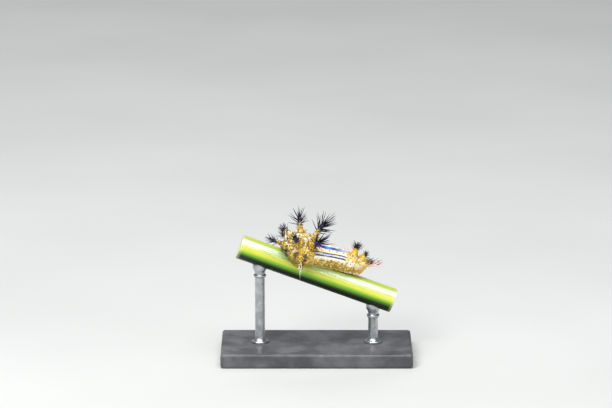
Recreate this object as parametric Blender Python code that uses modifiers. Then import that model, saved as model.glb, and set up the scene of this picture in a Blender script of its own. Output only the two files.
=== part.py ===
"""A slug moth larva resting on a cut length of grass stem, held by a plain display stand.

It is a still model at life size. Metres, with +Z up, +X from the head towards the tail, and the
larva's left side towards -Y. The origin is the centre of the base's underside.
"""

import math
import random

import bmesh
import bpy
from mathutils import Matrix, Vector

MM = 0.001
SAME_POINT = 0.0001 * MM
SEED = 21

# The stem, which slopes down towards the tail
STEM_SLOPE = math.radians(20)
STEM_RADIUS = 1.73 * MM
STEM_HEAD_END = -5.5 * MM
STEM_TAIL_END = 17.5 * MM
STEM_SIDES = 40
STEM_OVERRUN = 2 * MM

# The display stand
BASE_SIZE = (27 * MM, 14 * MM, 2 * MM)
BASE_BEVEL = 0.4 * MM
BEVEL_STEPS = 3
ROD_RADIUS = 0.7 * MM
ROD_SIDES = 24
ROD_REACH = 8.0 * MM
STEM_HEIGHT = 12 * MM

# The clearance between touching nodes
GAP = 0.22 * MM

# The larva's station zero is its front edge, and its middle stands over the base's centre
BODY_MIDDLE = 6.0 * MM
RING_SIDES = 36
RING_STEP = 0.3 * MM
UPPER_POWER = 2.3
LOWER_POWER = 2.8
END_ROUNDING = 0.16 * MM
FRONT_ROLL = math.radians(15)
REAR_ROLL = math.radians(2)
ROLL_STARTS = 2.5 * MM
ROLL_LENGTH = 6.5 * MM

# Outline along the body, in millimetres: station, top, half width, height of the widest line, sole
OUTLINE = (
    (0.0, 3.50, 1.15, 2.90, 2.40),
    (0.4, 4.10, 1.80, 2.95, 1.95),
    (1.2, 4.65, 2.35, 2.95, 1.45),
    (2.3, 5.00, 2.65, 3.00, 0.75),
    (3.2, 4.95, 2.70, 3.00, 0.90),
    (4.4, 4.35, 2.55, 2.95, 1.30),
    (5.4, 4.20, 2.40, 2.95, 1.45),
    (7.0, 4.30, 2.25, 3.05, 1.60),
    (8.8, 4.50, 2.00, 3.15, 1.70),
    (10.2, 4.50, 1.70, 3.20, 1.75),
    (11.2, 4.25, 1.35, 3.20, 1.85),
    (11.8, 3.95, 1.00, 3.20, 2.20),
    (12.1, 3.60, 0.55, 3.20, 2.80),
)

# First and last station of each length of the body, in millimetres
LENGTHS = {
    "mesothorax": (0.0, 1.12),
    "metathorax": (1.34, 3.05),
    "abdomen_1": (3.27, 4.50),
    "abdomen_2_4": (4.72, 7.88),
    "abdomen_5_6": (8.10, 9.30),
    "abdomen_7": (9.52, 10.52),
    "tail": (10.74, 12.10),
}

# The overhang of the second segment over the first, in millimetres: a sloping plane, and how far
# the slabs that cut along it reach
HOOD_FRONT_HEIGHT = 2.62
HOOD_BACK_HEIGHT = 3.35
HOOD_BACK = 1.12
HOOD_MIDDLE = 0.7
HOOD_HALF_WIDTH = 5.0
HOOD_STATIONS = (-2.0, 3.0)
HOOD_FLOOR = -3.0
HOOD_CEILING = 9.0
HOOD_GAP = 0.26

# How far the first segment stands back from the second, in millimetres: along and all round
COLLAR_SETBACK = (0.1, 0.08)

# The head, in millimetres
HEAD_CENTRE = (0.25, 0.0, 2.40)
HEAD_RADII = (0.50, 0.75, 0.46)
HEAD_SIDES = (24, 14)

# The hollow for the six short legs, in millimetres: stations, half width and roof
LEG_HOLLOW = (0.56, 3.60, 1.45, 2.60)
LEG_STATIONS = (0.90, 1.74, 2.52)
LEG_ROOT = (0.72, 2.38)
LEG_TIP = (0.95, 1.72)
LEG_RADII = (0.26, 0.12)
LEG_SIDES = 10

# Horn kinds in millimetres: length, root radius, tip radius, spine count, spine length, spine root radius
LARGE = (2.35, 0.48, 0.31, 28, 1.62, 0.27)
LARGEST = (2.70, 0.52, 0.31, 30, 2.05, 0.27)
FRONT_TOP = (1.30, 0.42, 0.30, 14, 0.90, 0.26)
FRONT_SIDE = (2.60, 0.42, 0.30, 16, 1.10, 0.26)
SIDE = (1.85, 0.44, 0.28, 14, 0.90, 0.26)
REAR = (1.30, 0.42, 0.30, 16, 1.00, 0.26)
LAST = (1.00, 0.38, 0.28, 11, 0.85, 0.26)
TRAILING = (2.20, 0.40, 0.27, 11, 0.80, 0.26)
KNOB = (0.42, 0.25, 0.06, 0, 0.0, 0.0)

# How the spines sit on a horn, and how far they keep from other nodes
TRUNK_SIDES = 8
SPINE_SIDES = 5
ROOT_DEPTH = 0.35 * MM
FIRST_SPINE = 0.38
LOWEST_REACH = 0.4
REACH_GAIN = 0.8
REACH_SPREAD = (0.88, 1.08)
LOW_LEAN = math.radians(82)
TIP_LEAN = math.radians(24)
LEAN_SPREAD = math.radians(7)
GOLDEN_ANGLE = math.radians(137.5)
SPINE_GAP = 0.3 * MM
SPINE_SHARES = (1.0, 0.85, 0.7, 0.55)
BODY_TESTS = (0.6, 0.8, 1.0)
ROD_TESTS = 8
POINT_SHARE = 0.1

# Horn pairs: node, station in millimetres, degrees from the back's middle, kind,
# and direction as shares backwards, outwards and upwards
HORNS = (
    ("mesothorax", 0.50, 38, FRONT_TOP, (-1.15, 0.10, 0.45)),
    ("mesothorax", 0.42, 70, FRONT_SIDE, (-1.90, 0.32, 0.20)),
    ("metathorax", 1.80, 48, LARGE, (-0.80, 1.75, 1.40)),
    ("metathorax", 2.76, 91, SIDE, (0.62, 1.20, -1.50)),
    ("abdomen_1", 3.86, 40, LARGEST, (0.70, 1.75, 1.85)),
    ("abdomen_1", 4.05, 94, KNOB, (0.00, 1.00, -0.15)),
    ("abdomen_2_4", 5.30, 42, KNOB, (0.10, 0.60, 1.00)),
    ("abdomen_2_4", 6.40, 42, KNOB, (0.05, 0.60, 1.00)),
    ("abdomen_2_4", 7.48, 42, KNOB, (0.00, 0.60, 1.00)),
    ("abdomen_2_4", 5.35, 92, KNOB, (0.00, 1.00, -0.10)),
    ("abdomen_2_4", 6.42, 92, KNOB, (0.00, 1.00, -0.10)),
    ("abdomen_2_4", 7.48, 92, KNOB, (0.00, 1.00, -0.10)),
    ("abdomen_5_6", 8.42, 42, KNOB, (0.00, 0.60, 1.00)),
    ("abdomen_5_6", 8.42, 92, KNOB, (0.00, 1.00, -0.10)),
    ("abdomen_5_6", 9.02, 44, KNOB, (0.00, 0.60, 1.00)),
    ("abdomen_5_6", 9.02, 93, KNOB, (0.00, 1.00, -0.10)),
    ("abdomen_7", 10.02, 24, REAR, (-0.02, 0.05, 1.25)),
    ("abdomen_7", 10.02, 96, KNOB, (0.10, 1.00, -0.10)),
    ("tail", 11.18, 28, LAST, (0.42, 0.05, 1.05)),
    ("tail", 11.12, 98, KNOB, (0.25, 1.00, -0.10)),
    ("tail", 11.82, 50, TRAILING, (2.40, 0.20, 0.75)),
)

# The right-hand FRONT_SIDE horn is swung out to its side
SWUNG_HORN = (-0.77, 2.00, -0.70)

# Colours in linear red, green and blue, with roughness
FLESH = ((0.62, 0.42, 0.12), 0.45)
PALE_FLESH = ((0.80, 0.70, 0.38), 0.45)
HEAD_BROWN = ((0.16, 0.10, 0.05), 0.35)
LEG_BROWN = ((0.30, 0.18, 0.07), 0.4)
STEM_GREEN = ((0.22, 0.46, 0.04), 0.4)
STAND_GREY = ((0.10, 0.10, 0.11), 0.5)
ROD_STEEL = ((0.55, 0.56, 0.58), 0.3)


def clear_scene():
    for obj in list(bpy.data.objects):
        bpy.data.objects.remove(obj, do_unlink=True)


def new_collection(name, hidden=False):
    collection = bpy.data.collections.new(name)
    bpy.context.scene.collection.children.link(collection)
    collection.hide_render = hidden
    return collection


def new_material(name, look, metallic=0.0):
    colour, roughness = look
    material = bpy.data.materials.new(name)
    material.use_nodes = True
    shader = material.node_tree.nodes["Principled BSDF"]
    shader.inputs["Base Color"].default_value = (*colour, 1.0)
    shader.inputs["Roughness"].default_value = roughness
    shader.inputs["Metallic"].default_value = metallic
    material.diffuse_color = (*colour, 1.0)
    return material


def mesh_object(name, bm, collection):
    """Puts a bmesh into the collection as a named object and frees it."""
    bmesh.ops.recalc_face_normals(bm, faces=bm.faces)
    mesh = bpy.data.meshes.new(name)
    bm.to_mesh(mesh)
    bm.free()
    obj = bpy.data.objects.new(name, mesh)
    collection.objects.link(obj)
    return obj


def hide(obj):
    obj.hide_render = True
    obj.display_type = "WIRE"


def outline_at(station):
    """Top, half width, height of the widest line and sole at this station, all in metres."""
    station = min(max(station / MM, OUTLINE[0][0]), OUTLINE[-1][0])
    last = len(OUTLINE) - 1
    i = max(k for k in range(last) if OUTLINE[k][0] <= station)
    before = OUTLINE[max(i - 1, 0)]
    first = OUTLINE[i]
    second = OUTLINE[i + 1]
    after = OUTLINE[min(i + 2, last)]
    span = second[0] - first[0]
    t = (station - first[0]) / span
    values = []
    for k in range(1, 5):
        leave = span * (second[k] - before[k]) / (second[0] - before[0])
        arrive = span * (after[k] - first[k]) / (after[0] - first[0])
        values.append(
            MM
            * (
                (2 * t**3 - 3 * t**2 + 1) * first[k]
                + (t**3 - 2 * t**2 + t) * leave
                + (3 * t**2 - 2 * t**3) * second[k]
                + (t**3 - t**2) * arrive
            )
        )
    return values


def roll_at(station):
    """How far the body is turned about the stem, towards its left side."""
    t = min(max((station - ROLL_STARTS) / ROLL_LENGTH, 0.0), 1.0)
    t = t * t * (3 - 2 * t)
    return FRONT_ROLL + (REAR_ROLL - FRONT_ROLL) * t


def stem_axes():
    along = Vector((math.cos(STEM_SLOPE), 0, -math.sin(STEM_SLOPE)))
    up = Vector((math.sin(STEM_SLOPE), 0, math.cos(STEM_SLOPE)))
    return along, up


def stem_point(station):
    """The point on the stem's axis at this station."""
    along, _ = stem_axes()
    return Vector((0, 0, STEM_HEIGHT)) + along * (station - BODY_MIDDLE)


def body_matrix(station):
    """Turns (backwards, to the right side, upwards) at this station into the world."""
    along, up = stem_axes()
    roll = roll_at(station)
    side = Vector((0, 1, 0)) * math.cos(roll) + up * math.sin(roll)
    rise = up * math.cos(roll) - Vector((0, 1, 0)) * math.sin(roll)
    matrix = Matrix((along, side, rise)).transposed().to_4x4()
    matrix.translation = stem_point(station)
    return matrix


def ring_point(station, angle, grow=0.0):
    """The skin's (side, height) at an angle from the middle of the back, grown outwards by grow."""
    top, half, middle, sole = outline_at(station)
    out = math.sin(angle)
    rise = math.cos(angle)
    tall = (top - middle if rise >= 0 else middle - sole) + grow
    power = UPPER_POWER if rise >= 0 else LOWER_POWER
    share = (abs(out) / (half + grow)) ** power + (abs(rise) / tall) ** power
    reach = share ** (-1 / power)
    return out * reach, middle + rise * reach


def body_length(name, first, last, collection, grow=0.0):
    """A closed length of the body between two stations, with rounded rims."""
    steps = max(2, round((last - first) / RING_STEP))
    inner = [
        (first + END_ROUNDING + (last - first - 2 * END_ROUNDING) * k / steps, grow)
        for k in range(steps + 1)
    ]
    stations = [(first, grow - END_ROUNDING), *inner, (last, grow - END_ROUNDING)]
    bm = bmesh.new()
    rings = []
    for station, swell in stations:
        matrix = body_matrix(station)
        ring = []
        for k in range(RING_SIDES):
            side, height = ring_point(station, 2 * math.pi * k / RING_SIDES, swell)
            ring.append(bm.verts.new(matrix @ Vector((0, side, height))))
        rings.append(ring)
    for near, far in zip(rings, rings[1:]):
        for k in range(RING_SIDES):
            following = (k + 1) % RING_SIDES
            bm.faces.new((near[k], near[following], far[following], far[k]))
    bm.faces.new(rings[0])
    bm.faces.new(rings[-1])
    bmesh.ops.triangulate(bm, faces=bm.faces)
    return mesh_object(name, bm, collection)


def slab(name, corners, half_width, station, collection):
    """A closed prism across the body from (station, height) corners, in the frame of one station."""
    matrix = body_matrix(station)
    bm = bmesh.new()
    sides = []
    for side in (-half_width, half_width):
        sides.append(
            [bm.verts.new(matrix @ Vector((x - station, side, z))) for x, z in corners]
        )
    bm.faces.new(sides[0])
    bm.faces.new(sides[1])
    for k in range(len(corners)):
        following = (k + 1) % len(corners)
        bm.faces.new((sides[0][k], sides[0][following], sides[1][following], sides[1][k]))
    return mesh_object(name, bm, collection)


def ball(name, centre, radii, grow, collection):
    """An ellipsoid at a body point, its sizes in millimetres."""
    station, side, height = (value * MM for value in centre)
    bm = bmesh.new()
    bmesh.ops.create_uvsphere(bm, u_segments=HEAD_SIDES[0], v_segments=HEAD_SIDES[1], radius=1.0)
    scale = Matrix.Diagonal([radius * MM + grow for radius in radii]).to_4x4()
    place = body_matrix(station) @ Matrix.Translation((0, side, height))
    bm.transform(place @ scale)
    return mesh_object(name, bm, collection)


def cone(name, root, tip, root_radius, tip_radius, sides, collection):
    """A closed tapered rod between two points, pointed where the tip's radius is zero."""
    axis = tip - root
    bm = bmesh.new()
    bmesh.ops.create_cone(
        bm,
        cap_ends=True,
        cap_tris=False,
        segments=sides,
        radius1=root_radius,
        radius2=tip_radius,
        depth=axis.length,
    )
    turned = axis.to_track_quat("Z", "Y").to_matrix().to_4x4()
    bm.transform(Matrix.Translation((root + tip) / 2) @ turned)
    bmesh.ops.remove_doubles(bm, verts=bm.verts, dist=SAME_POINT)
    return mesh_object(name, bm, collection)


def boolean(obj, operation, other=None, collection=None):
    """Applies one Boolean to the object with a mesh object or a collection of them."""
    modifier = obj.modifiers.new("join", "BOOLEAN")
    modifier.operation = operation
    modifier.solver = "MANIFOLD"
    if collection is None:
        modifier.object = other
    else:
        modifier.operand_type = "COLLECTION"
        modifier.collection = collection
    graph = bpy.context.evaluated_depsgraph_get()
    mesh = bpy.data.meshes.new_from_object(obj.evaluated_get(graph))
    obj.modifiers.clear()
    obj.data = mesh


def keep_largest(obj):
    """Leaves only the closed surface that holds the most."""
    bm = bmesh.new()
    bm.from_mesh(obj.data)
    bmesh.ops.triangulate(bm, faces=bm.faces)
    left = set(bm.faces)
    pieces = []
    while left:
        queue = [left.pop()]
        piece = list(queue)
        while queue:
            for edge in queue.pop().edges:
                for face in edge.link_faces:
                    if face in left:
                        left.remove(face)
                        queue.append(face)
                        piece.append(face)
        pieces.append(piece)
    pieces.sort(key=held_volume)
    spare = [vert for piece in pieces[:-1] for face in piece for vert in face.verts]
    bmesh.ops.delete(bm, geom=list(set(spare)), context="VERTS")
    bm.to_mesh(obj.data)
    bm.free()


def held_volume(faces):
    total = 0.0
    for face in faces:
        a, b, c = (vert.co for vert in face.verts)
        total += a.dot(b.cross(c))
    return abs(total)


def fuse(obj, pieces):
    """Joins a collection's closed pieces to the object and removes them."""
    boolean(obj, "UNION", collection=pieces)
    for piece in list(pieces.objects):
        bpy.data.objects.remove(piece, do_unlink=True)
    bpy.data.collections.remove(pieces)
    keep_largest(obj)


def horn_axis(station, degrees, side, direction, kind):
    """The root on the skin and the unit direction of one horn, in the world."""
    matrix = body_matrix(station)
    across, height = ring_point(station, math.radians(degrees) * side)
    back, out, rise = SWUNG_HORN if kind is FRONT_SIDE and side == 1 else direction
    axis = matrix.to_3x3() @ Vector((back, out * side, rise)).normalized()
    return matrix @ Vector((0, across, height)), axis


def spine_direction(axis, lean, turn):
    """The horn's axis tipped over by lean, towards a direction turned about it."""
    tip_over = Matrix.Rotation(lean, 3, axis.orthogonal())
    return Matrix.Rotation(turn, 3, axis) @ (tip_over @ axis)


def horn_rods(root, axis, kind):
    """One horn's trunk and its spines, each as (root, tip, root radius, tip radius, sides)."""
    length, root_radius, tip_radius, _, spine_length, spine_radius = (v * MM for v in kind)
    count = kind[3]
    trunk = (root - axis * ROOT_DEPTH, root + axis * length, root_radius, tip_radius, TRUNK_SIDES)
    spines = []
    turn = random.uniform(0, 2 * math.pi)
    for k in range(count):
        share = FIRST_SPINE + (1 - FIRST_SPINE) * k / (count - 1)
        height = length * share - (spine_radius if k == count - 1 else 0)
        lean = LOW_LEAN + (TIP_LEAN - LOW_LEAN) * share**2 if k < count - 1 else 0.0
        lean += random.uniform(-LEAN_SPREAD, LEAN_SPREAD)
        reach = spine_length * min(1.0, LOWEST_REACH + REACH_GAIN * share)
        reach *= random.uniform(*REACH_SPREAD)
        turn += GOLDEN_ANGLE
        foot = root + axis * height
        local = root_radius + (tip_radius - root_radius) * share
        tip = foot + spine_direction(axis, lean, turn) * (reach + local * math.sin(lean))
        spines.append((foot, tip, spine_radius, 0.0, SPINE_SIDES))
    return trunk, spines


def clear_of_body(node, point, radius):
    """Whether a point keeps its distance from the stem and from the lengths of body that aren't its own."""
    along, _ = stem_axes()
    offset = point - stem_point(0)
    station = offset.dot(along)
    if (offset - along * station).length < STEM_RADIUS + radius + SPINE_GAP:
        return STEM_HEAD_END - SPINE_GAP > station
    first, last = (value * MM for value in LENGTHS[node])
    if first <= station <= last:
        return True
    local = body_matrix(station).inverted() @ point
    top, half, middle, sole = outline_at(station)
    rise = local.z - middle
    tall = top - middle if rise >= 0 else middle - sole
    power = UPPER_POWER if rise >= 0 else LOWER_POWER
    room = SPINE_GAP + radius
    beyond = max(-station, station - OUTLINE[-1][0] * MM)
    share = (abs(local.y) / (half + room)) ** power + (abs(rise) / (tall + room)) ** power
    return beyond > room or share > 1


def clear_of_rods(rod, others):
    """Whether a rod keeps its distance from the horns and spines of other nodes."""
    root, tip, root_radius, tip_radius, _ = rod
    for k in range(ROD_TESTS + 1):
        t = k / ROD_TESTS
        point = root.lerp(tip, t)
        radius = root_radius + (tip_radius - root_radius) * t
        for other_root, other_tip, other_radius, _, _ in others:
            axis = other_tip - other_root
            share = min(max((point - other_root).dot(axis) / axis.length_squared, 0), 1)
            near = other_root + axis * share
            other_width = other_radius * (1 - (1 - POINT_SHARE) * share)
            if (point - near).length < radius + other_width + SPINE_GAP:
                return False
    return True


def plan_horns():
    """The trunks and spines of every node, with each spine short enough to clear other nodes."""
    trunks = {}
    spines = []
    for node, station, degrees, kind, direction in HORNS:
        for side in (-1, 1):
            root, axis = horn_axis(station * MM, degrees, side, direction, kind)
            trunk, rods = horn_rods(root, axis, kind)
            trunks.setdefault(node, []).append(trunk)
            spines += [(node, rod) for rod in rods]
    placed = {node: list(rods) for node, rods in trunks.items()}
    for node, (root, tip, root_radius, tip_radius, sides) in spines:
        others = [rod for other, rods in placed.items() if other != node for rod in rods]
        for share in SPINE_SHARES:
            rod = (root, root.lerp(tip, share), root_radius, tip_radius, sides)
            body_clear = all(
                clear_of_body(node, root.lerp(rod[1], t), root_radius * (1 - t)) for t in BODY_TESTS
            )
            if body_clear and clear_of_rods(rod, others):
                placed[node].append(rod)
                break
    return placed


def add_horns(obj, rods):
    pieces = new_collection("horn_pieces")
    for root, tip, root_radius, tip_radius, sides in rods:
        cone("horn", root, tip, root_radius, tip_radius, sides, pieces)
    fuse(obj, pieces)


def stem_cutter(cutters):
    """The stem and its clearance, which shapes the sole that rests on it."""
    first = stem_point(STEM_HEAD_END - STEM_OVERRUN)
    last = stem_point(STEM_TAIL_END + STEM_OVERRUN)
    radius = STEM_RADIUS + GAP
    obj = cone("stem_clearance", first, last, radius, radius, STEM_SIDES, cutters)
    hide(obj)
    return obj


def leg_hollow_cutter(cutters):
    first, last, half_width, roof = (value * MM for value in LEG_HOLLOW)
    corners = ((first, 0), (last, 0), (last, roof), (first, roof))
    obj = slab("leg_hollow", corners, half_width, (first + last) / 2, cutters)
    hide(obj)
    return obj


def hood_cutter(name, lowered, limit, cutters):
    """A slab between the sloping plane under the second segment, lowered, and a level limit."""
    slope = (HOOD_BACK_HEIGHT - HOOD_FRONT_HEIGHT) / HOOD_BACK
    plane = [(x, HOOD_FRONT_HEIGHT + x * slope - lowered) for x in HOOD_STATIONS]
    level = [(x, limit) for x in reversed(HOOD_STATIONS)]
    corners = [(x * MM, height * MM) for x, height in plane + level]
    obj = slab(name, corners, HOOD_HALF_WIDTH * MM, HOOD_MIDDLE * MM, cutters)
    hide(obj)
    return obj


def head_cutter(cutters):
    obj = ball("head_clearance", HEAD_CENTRE, HEAD_RADII, GAP, cutters)
    hide(obj)
    return obj


def finish(obj, material):
    obj.data.materials.clear()
    obj.data.materials.append(material)


def make_thorax_front(model, cutters, stem, hollow, rods):
    """The second segment as an overhang, and the first segment beneath it round the head."""
    first, last = (value * MM for value in LENGTHS["mesothorax"])
    head_room = head_cutter(cutters)
    below = hood_cutter("under_hood", 0.0, HOOD_FLOOR, cutters)
    above = hood_cutter("over_hood", HOOD_GAP, HOOD_CEILING, cutters)

    hood = body_length("mesothorax", first, last, model)
    add_horns(hood, rods["mesothorax"])
    for cutter in (below, head_room, stem):
        boolean(hood, "DIFFERENCE", cutter)
    keep_largest(hood)
    finish(hood, new_material("mesothorax", FLESH))

    back, inwards = (value * MM for value in COLLAR_SETBACK)
    collar = body_length("prothorax", first + back, last, model, grow=-inwards)
    for cutter in (above, head_room, stem, hollow):
        boolean(collar, "DIFFERENCE", cutter)
    keep_largest(collar)
    finish(collar, new_material("prothorax", LEG_BROWN))

    head = ball("head", HEAD_CENTRE, HEAD_RADII, 0.0, model)
    finish(head, new_material("head", HEAD_BROWN))


def make_body(model, stem, hollow, rods):
    for name, (first, last) in LENGTHS.items():
        if name == "mesothorax":
            continue
        obj = body_length(name, first * MM, last * MM, model)
        add_horns(obj, rods[name])
        cuts = (stem, hollow) if name in ("metathorax", "abdomen_1") else (stem,)
        for cutter in cuts:
            boolean(obj, "DIFFERENCE", cutter)
        keep_largest(obj)
        look = PALE_FLESH if name in ("abdomen_2_4", "abdomen_5_6") else FLESH
        finish(obj, new_material(name, look))


def make_legs(model):
    for side, label in ((-1, "left"), (1, "right")):
        for number, station in enumerate(LEG_STATIONS, 1):
            matrix = body_matrix(station * MM)
            root = matrix @ Vector((0, side * LEG_ROOT[0] * MM, LEG_ROOT[1] * MM))
            tip = matrix @ Vector((0, side * LEG_TIP[0] * MM, LEG_TIP[1] * MM))
            name = f"leg_{label}_{number}"
            leg = cone(name, root, tip, LEG_RADII[0] * MM, LEG_RADII[1] * MM, LEG_SIDES, model)
            finish(leg, new_material(name, LEG_BROWN))


def make_perch(model):
    first = stem_point(STEM_HEAD_END)
    last = stem_point(STEM_TAIL_END)
    perch = cone("perch", first, last, STEM_RADIUS, STEM_RADIUS, STEM_SIDES, model)
    finish(perch, new_material("perch", STEM_GREEN))


def make_stand(model, stem):
    bpy.ops.mesh.primitive_cube_add(size=1, location=(0, 0, BASE_SIZE[2] / 2))
    base = bpy.context.object
    base.name = "stand_base"
    base.scale = BASE_SIZE
    bpy.ops.object.transform_apply(location=False, rotation=False, scale=True)
    bevel = base.modifiers.new("edges", "BEVEL")
    bevel.width = BASE_BEVEL
    bevel.segments = BEVEL_STEPS
    move_to(base, model)
    finish(base, new_material("stand_base", STAND_GREY))
    for name, along in (("stand_rod_front", -ROD_REACH), ("stand_rod_back", ROD_REACH)):
        foot = Vector((along, 0, BASE_SIZE[2] + GAP))
        top = Vector((along, 0, STEM_HEIGHT - along * math.tan(STEM_SLOPE)))
        rod = cone(name, foot, top, ROD_RADIUS, ROD_RADIUS, ROD_SIDES, model)
        boolean(rod, "DIFFERENCE", stem)
        keep_largest(rod)
        finish(rod, new_material(name, ROD_STEEL, metallic=1.0))


def move_to(obj, collection):
    for other in list(obj.users_collection):
        other.objects.unlink(obj)
    collection.objects.link(obj)


def main():
    random.seed(SEED)
    clear_scene()
    model = new_collection("slug_moth_larva")
    cutters = new_collection("cutters", hidden=True)
    stem = stem_cutter(cutters)
    hollow = leg_hollow_cutter(cutters)
    rods = plan_horns()
    make_thorax_front(model, cutters, stem, hollow, rods)
    make_body(model, stem, hollow, rods)
    make_legs(model)
    make_perch(model)
    make_stand(model, stem)


main()
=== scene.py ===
"""A slug moth larva on a cut length of grass stem: its looks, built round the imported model.

Sizes are in millimetres unless a property says otherwise, and are turned into metres as each mesh
is made. A station is a distance along the stem from the larva's front edge towards its tail, and
an angle is measured round the body from the middle of its back, growing towards its right side.
"""

import math
import random
from types import SimpleNamespace

import bmesh
import bpy
import numpy as np
from bpy.props import FloatProperty, FloatVectorProperty, IntProperty, PointerProperty
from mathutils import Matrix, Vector, noise


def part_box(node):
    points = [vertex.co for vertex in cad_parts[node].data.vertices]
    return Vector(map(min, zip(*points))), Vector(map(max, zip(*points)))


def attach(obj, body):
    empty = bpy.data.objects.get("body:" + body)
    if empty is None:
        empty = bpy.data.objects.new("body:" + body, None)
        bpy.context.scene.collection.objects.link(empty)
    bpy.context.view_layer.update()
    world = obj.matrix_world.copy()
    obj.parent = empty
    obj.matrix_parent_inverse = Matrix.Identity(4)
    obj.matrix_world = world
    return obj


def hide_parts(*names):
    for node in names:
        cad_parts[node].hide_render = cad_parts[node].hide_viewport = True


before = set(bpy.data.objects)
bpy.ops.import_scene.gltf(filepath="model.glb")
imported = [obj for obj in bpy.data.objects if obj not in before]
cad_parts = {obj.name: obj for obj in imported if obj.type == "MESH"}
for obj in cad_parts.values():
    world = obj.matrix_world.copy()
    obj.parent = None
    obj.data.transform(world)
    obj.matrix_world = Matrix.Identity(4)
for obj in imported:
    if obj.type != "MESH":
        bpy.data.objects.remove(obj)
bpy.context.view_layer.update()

bl_info = {
    "name": "Slug Moth Larva",
    "version": (1, 0, 0),
    "blender": (4, 5, 0),
    "location": "3D View > Sidebar > Larva",
    "description": "Builds the skin, horns, spines, head, legs, stem and stand of a still model",
    "category": "Add Mesh",
}

MM = 0.001
SEED = 21

# The stem and the stand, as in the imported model
STEM_SLOPE = math.radians(20.0)
STEM_RADIUS = 1.73
STEM_HEAD_END = -5.5
STEM_TAIL_END = 17.5
STEM_HEIGHT = 12.0
BODY_MIDDLE = 6.0
ROD_RADIUS = 0.7
ROD_REACH = 8.0
BASE_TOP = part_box("stand_base")[1].z / MM

# The gap that the body's sole keeps above the stem
SOLE_GAP = 0.03

# The body's outline: station, top, half width, height of the widest line, sole
OUTLINE = (
    (0.0, 3.50, 1.15, 2.90, 2.40),
    (0.4, 4.10, 1.80, 2.95, 1.95),
    (1.2, 4.65, 2.35, 2.95, 1.45),
    (2.3, 5.00, 2.65, 3.00, 0.75),
    (3.2, 4.95, 2.70, 3.00, 0.90),
    (4.4, 4.35, 2.55, 2.95, 1.30),
    (5.4, 4.20, 2.40, 2.95, 1.45),
    (7.0, 4.30, 2.25, 3.05, 1.60),
    (8.8, 4.50, 2.00, 3.15, 1.70),
    (10.2, 4.50, 1.70, 3.20, 1.75),
    (11.2, 4.25, 1.35, 3.20, 1.85),
    (11.8, 3.95, 1.00, 3.20, 2.20),
    (12.1, 3.60, 0.55, 3.20, 2.80),
)
UPPER_POWER = 2.3
LOWER_POWER = 2.8
FRONT_ROLL = math.radians(15)
REAR_ROLL = math.radians(2)
ROLL_STARTS = 2.5
ROLL_LENGTH = 6.5

# Folds between the segments, and the sloping fold under the second segment
FOLDS = (1.24, 3.16, 4.60, 5.90, 6.98, 8.02, 9.40, 10.62)
HOOD_FRONT_HEIGHT = 2.62
HOOD_BACK_HEIGHT = 3.35
HOOD_BACK = 1.12
HOOD_GAP = 0.16

# The head, the hollow for the legs, and the legs: stations, half width and roof
HEAD_CENTRE = (0.25, 0.0, 2.40)
HEAD_RADII = (0.50, 0.75, 0.46)
LEG_HOLLOW = (0.56, 3.60, 1.45, 2.60)
LEG_STATIONS = (0.90, 1.74, 2.52)

# Horn kinds: length, root radius, tip radius, dark from this share of the length
LARGE = (2.35, 0.41, 0.24, 0.58)
LARGEST = (2.70, 0.44, 0.25, 0.54)
FRONT_TOP = (1.30, 0.38, 0.22, 0.76)
FRONT_SIDE = (2.60, 0.38, 0.18, 0.66)
SIDE = (1.85, 0.42, 0.15, 9.0)
REAR = (1.30, 0.37, 0.23, 0.84)
LAST = (1.00, 0.33, 0.18, 0.80)
TRAILING = (2.20, 0.34, 0.20, 9.0)
KNOB = (0.24, 0.11, 0.06, 9.0)
SIDE_KNOB = (0.20, 0.15, 0.09, 9.0)

# Horn pairs: station, degrees from the back's middle, kind, direction backwards, outwards, upwards
HORNS = (
    (0.50, 38, FRONT_TOP, (-1.15, 0.10, 0.45)),
    (0.42, 70, FRONT_SIDE, (-1.90, 0.32, 0.20)),
    (1.80, 48, LARGE, (-0.80, 1.75, 1.40)),
    (2.76, 91, SIDE, (0.62, 1.20, -1.50)),
    (3.86, 40, LARGEST, (0.70, 1.75, 1.85)),
    (4.05, 94, SIDE_KNOB, (0.00, 1.00, -0.15)),
    (5.30, 42, KNOB, (0.10, 0.60, 1.00)),
    (6.40, 42, KNOB, (0.05, 0.60, 1.00)),
    (7.48, 42, KNOB, (0.00, 0.60, 1.00)),
    (5.35, 92, SIDE_KNOB, (0.00, 1.00, -0.10)),
    (6.42, 92, SIDE_KNOB, (0.00, 1.00, -0.10)),
    (7.48, 92, SIDE_KNOB, (0.00, 1.00, -0.10)),
    (8.42, 42, KNOB, (0.00, 0.60, 1.00)),
    (8.42, 92, SIDE_KNOB, (0.00, 1.00, -0.10)),
    (9.02, 44, KNOB, (0.00, 0.60, 1.00)),
    (9.02, 93, SIDE_KNOB, (0.00, 1.00, -0.10)),
    (10.02, 24, REAR, (-0.02, 0.05, 1.25)),
    (10.02, 96, SIDE_KNOB, (0.10, 1.00, -0.10)),
    (11.18, 28, LAST, (0.42, 0.05, 1.05)),
    (11.12, 98, SIDE_KNOB, (0.25, 1.00, -0.10)),
    (11.82, 50, TRAILING, (2.40, 0.20, 0.75)),
)
# Shares of the length between which a horn of this kind turns pale
PALE_FROM = {SIDE: (0.35, 0.8), FRONT_TOP: (0.05, 0.4), SIDE_KNOB: (0.6, 1.4)}
# The right-hand FRONT_SIDE horn is swung out to its side
SWUNG_HORN = (-0.77, 2.00, -0.70)
ROOT_DEPTH = 0.35

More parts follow.
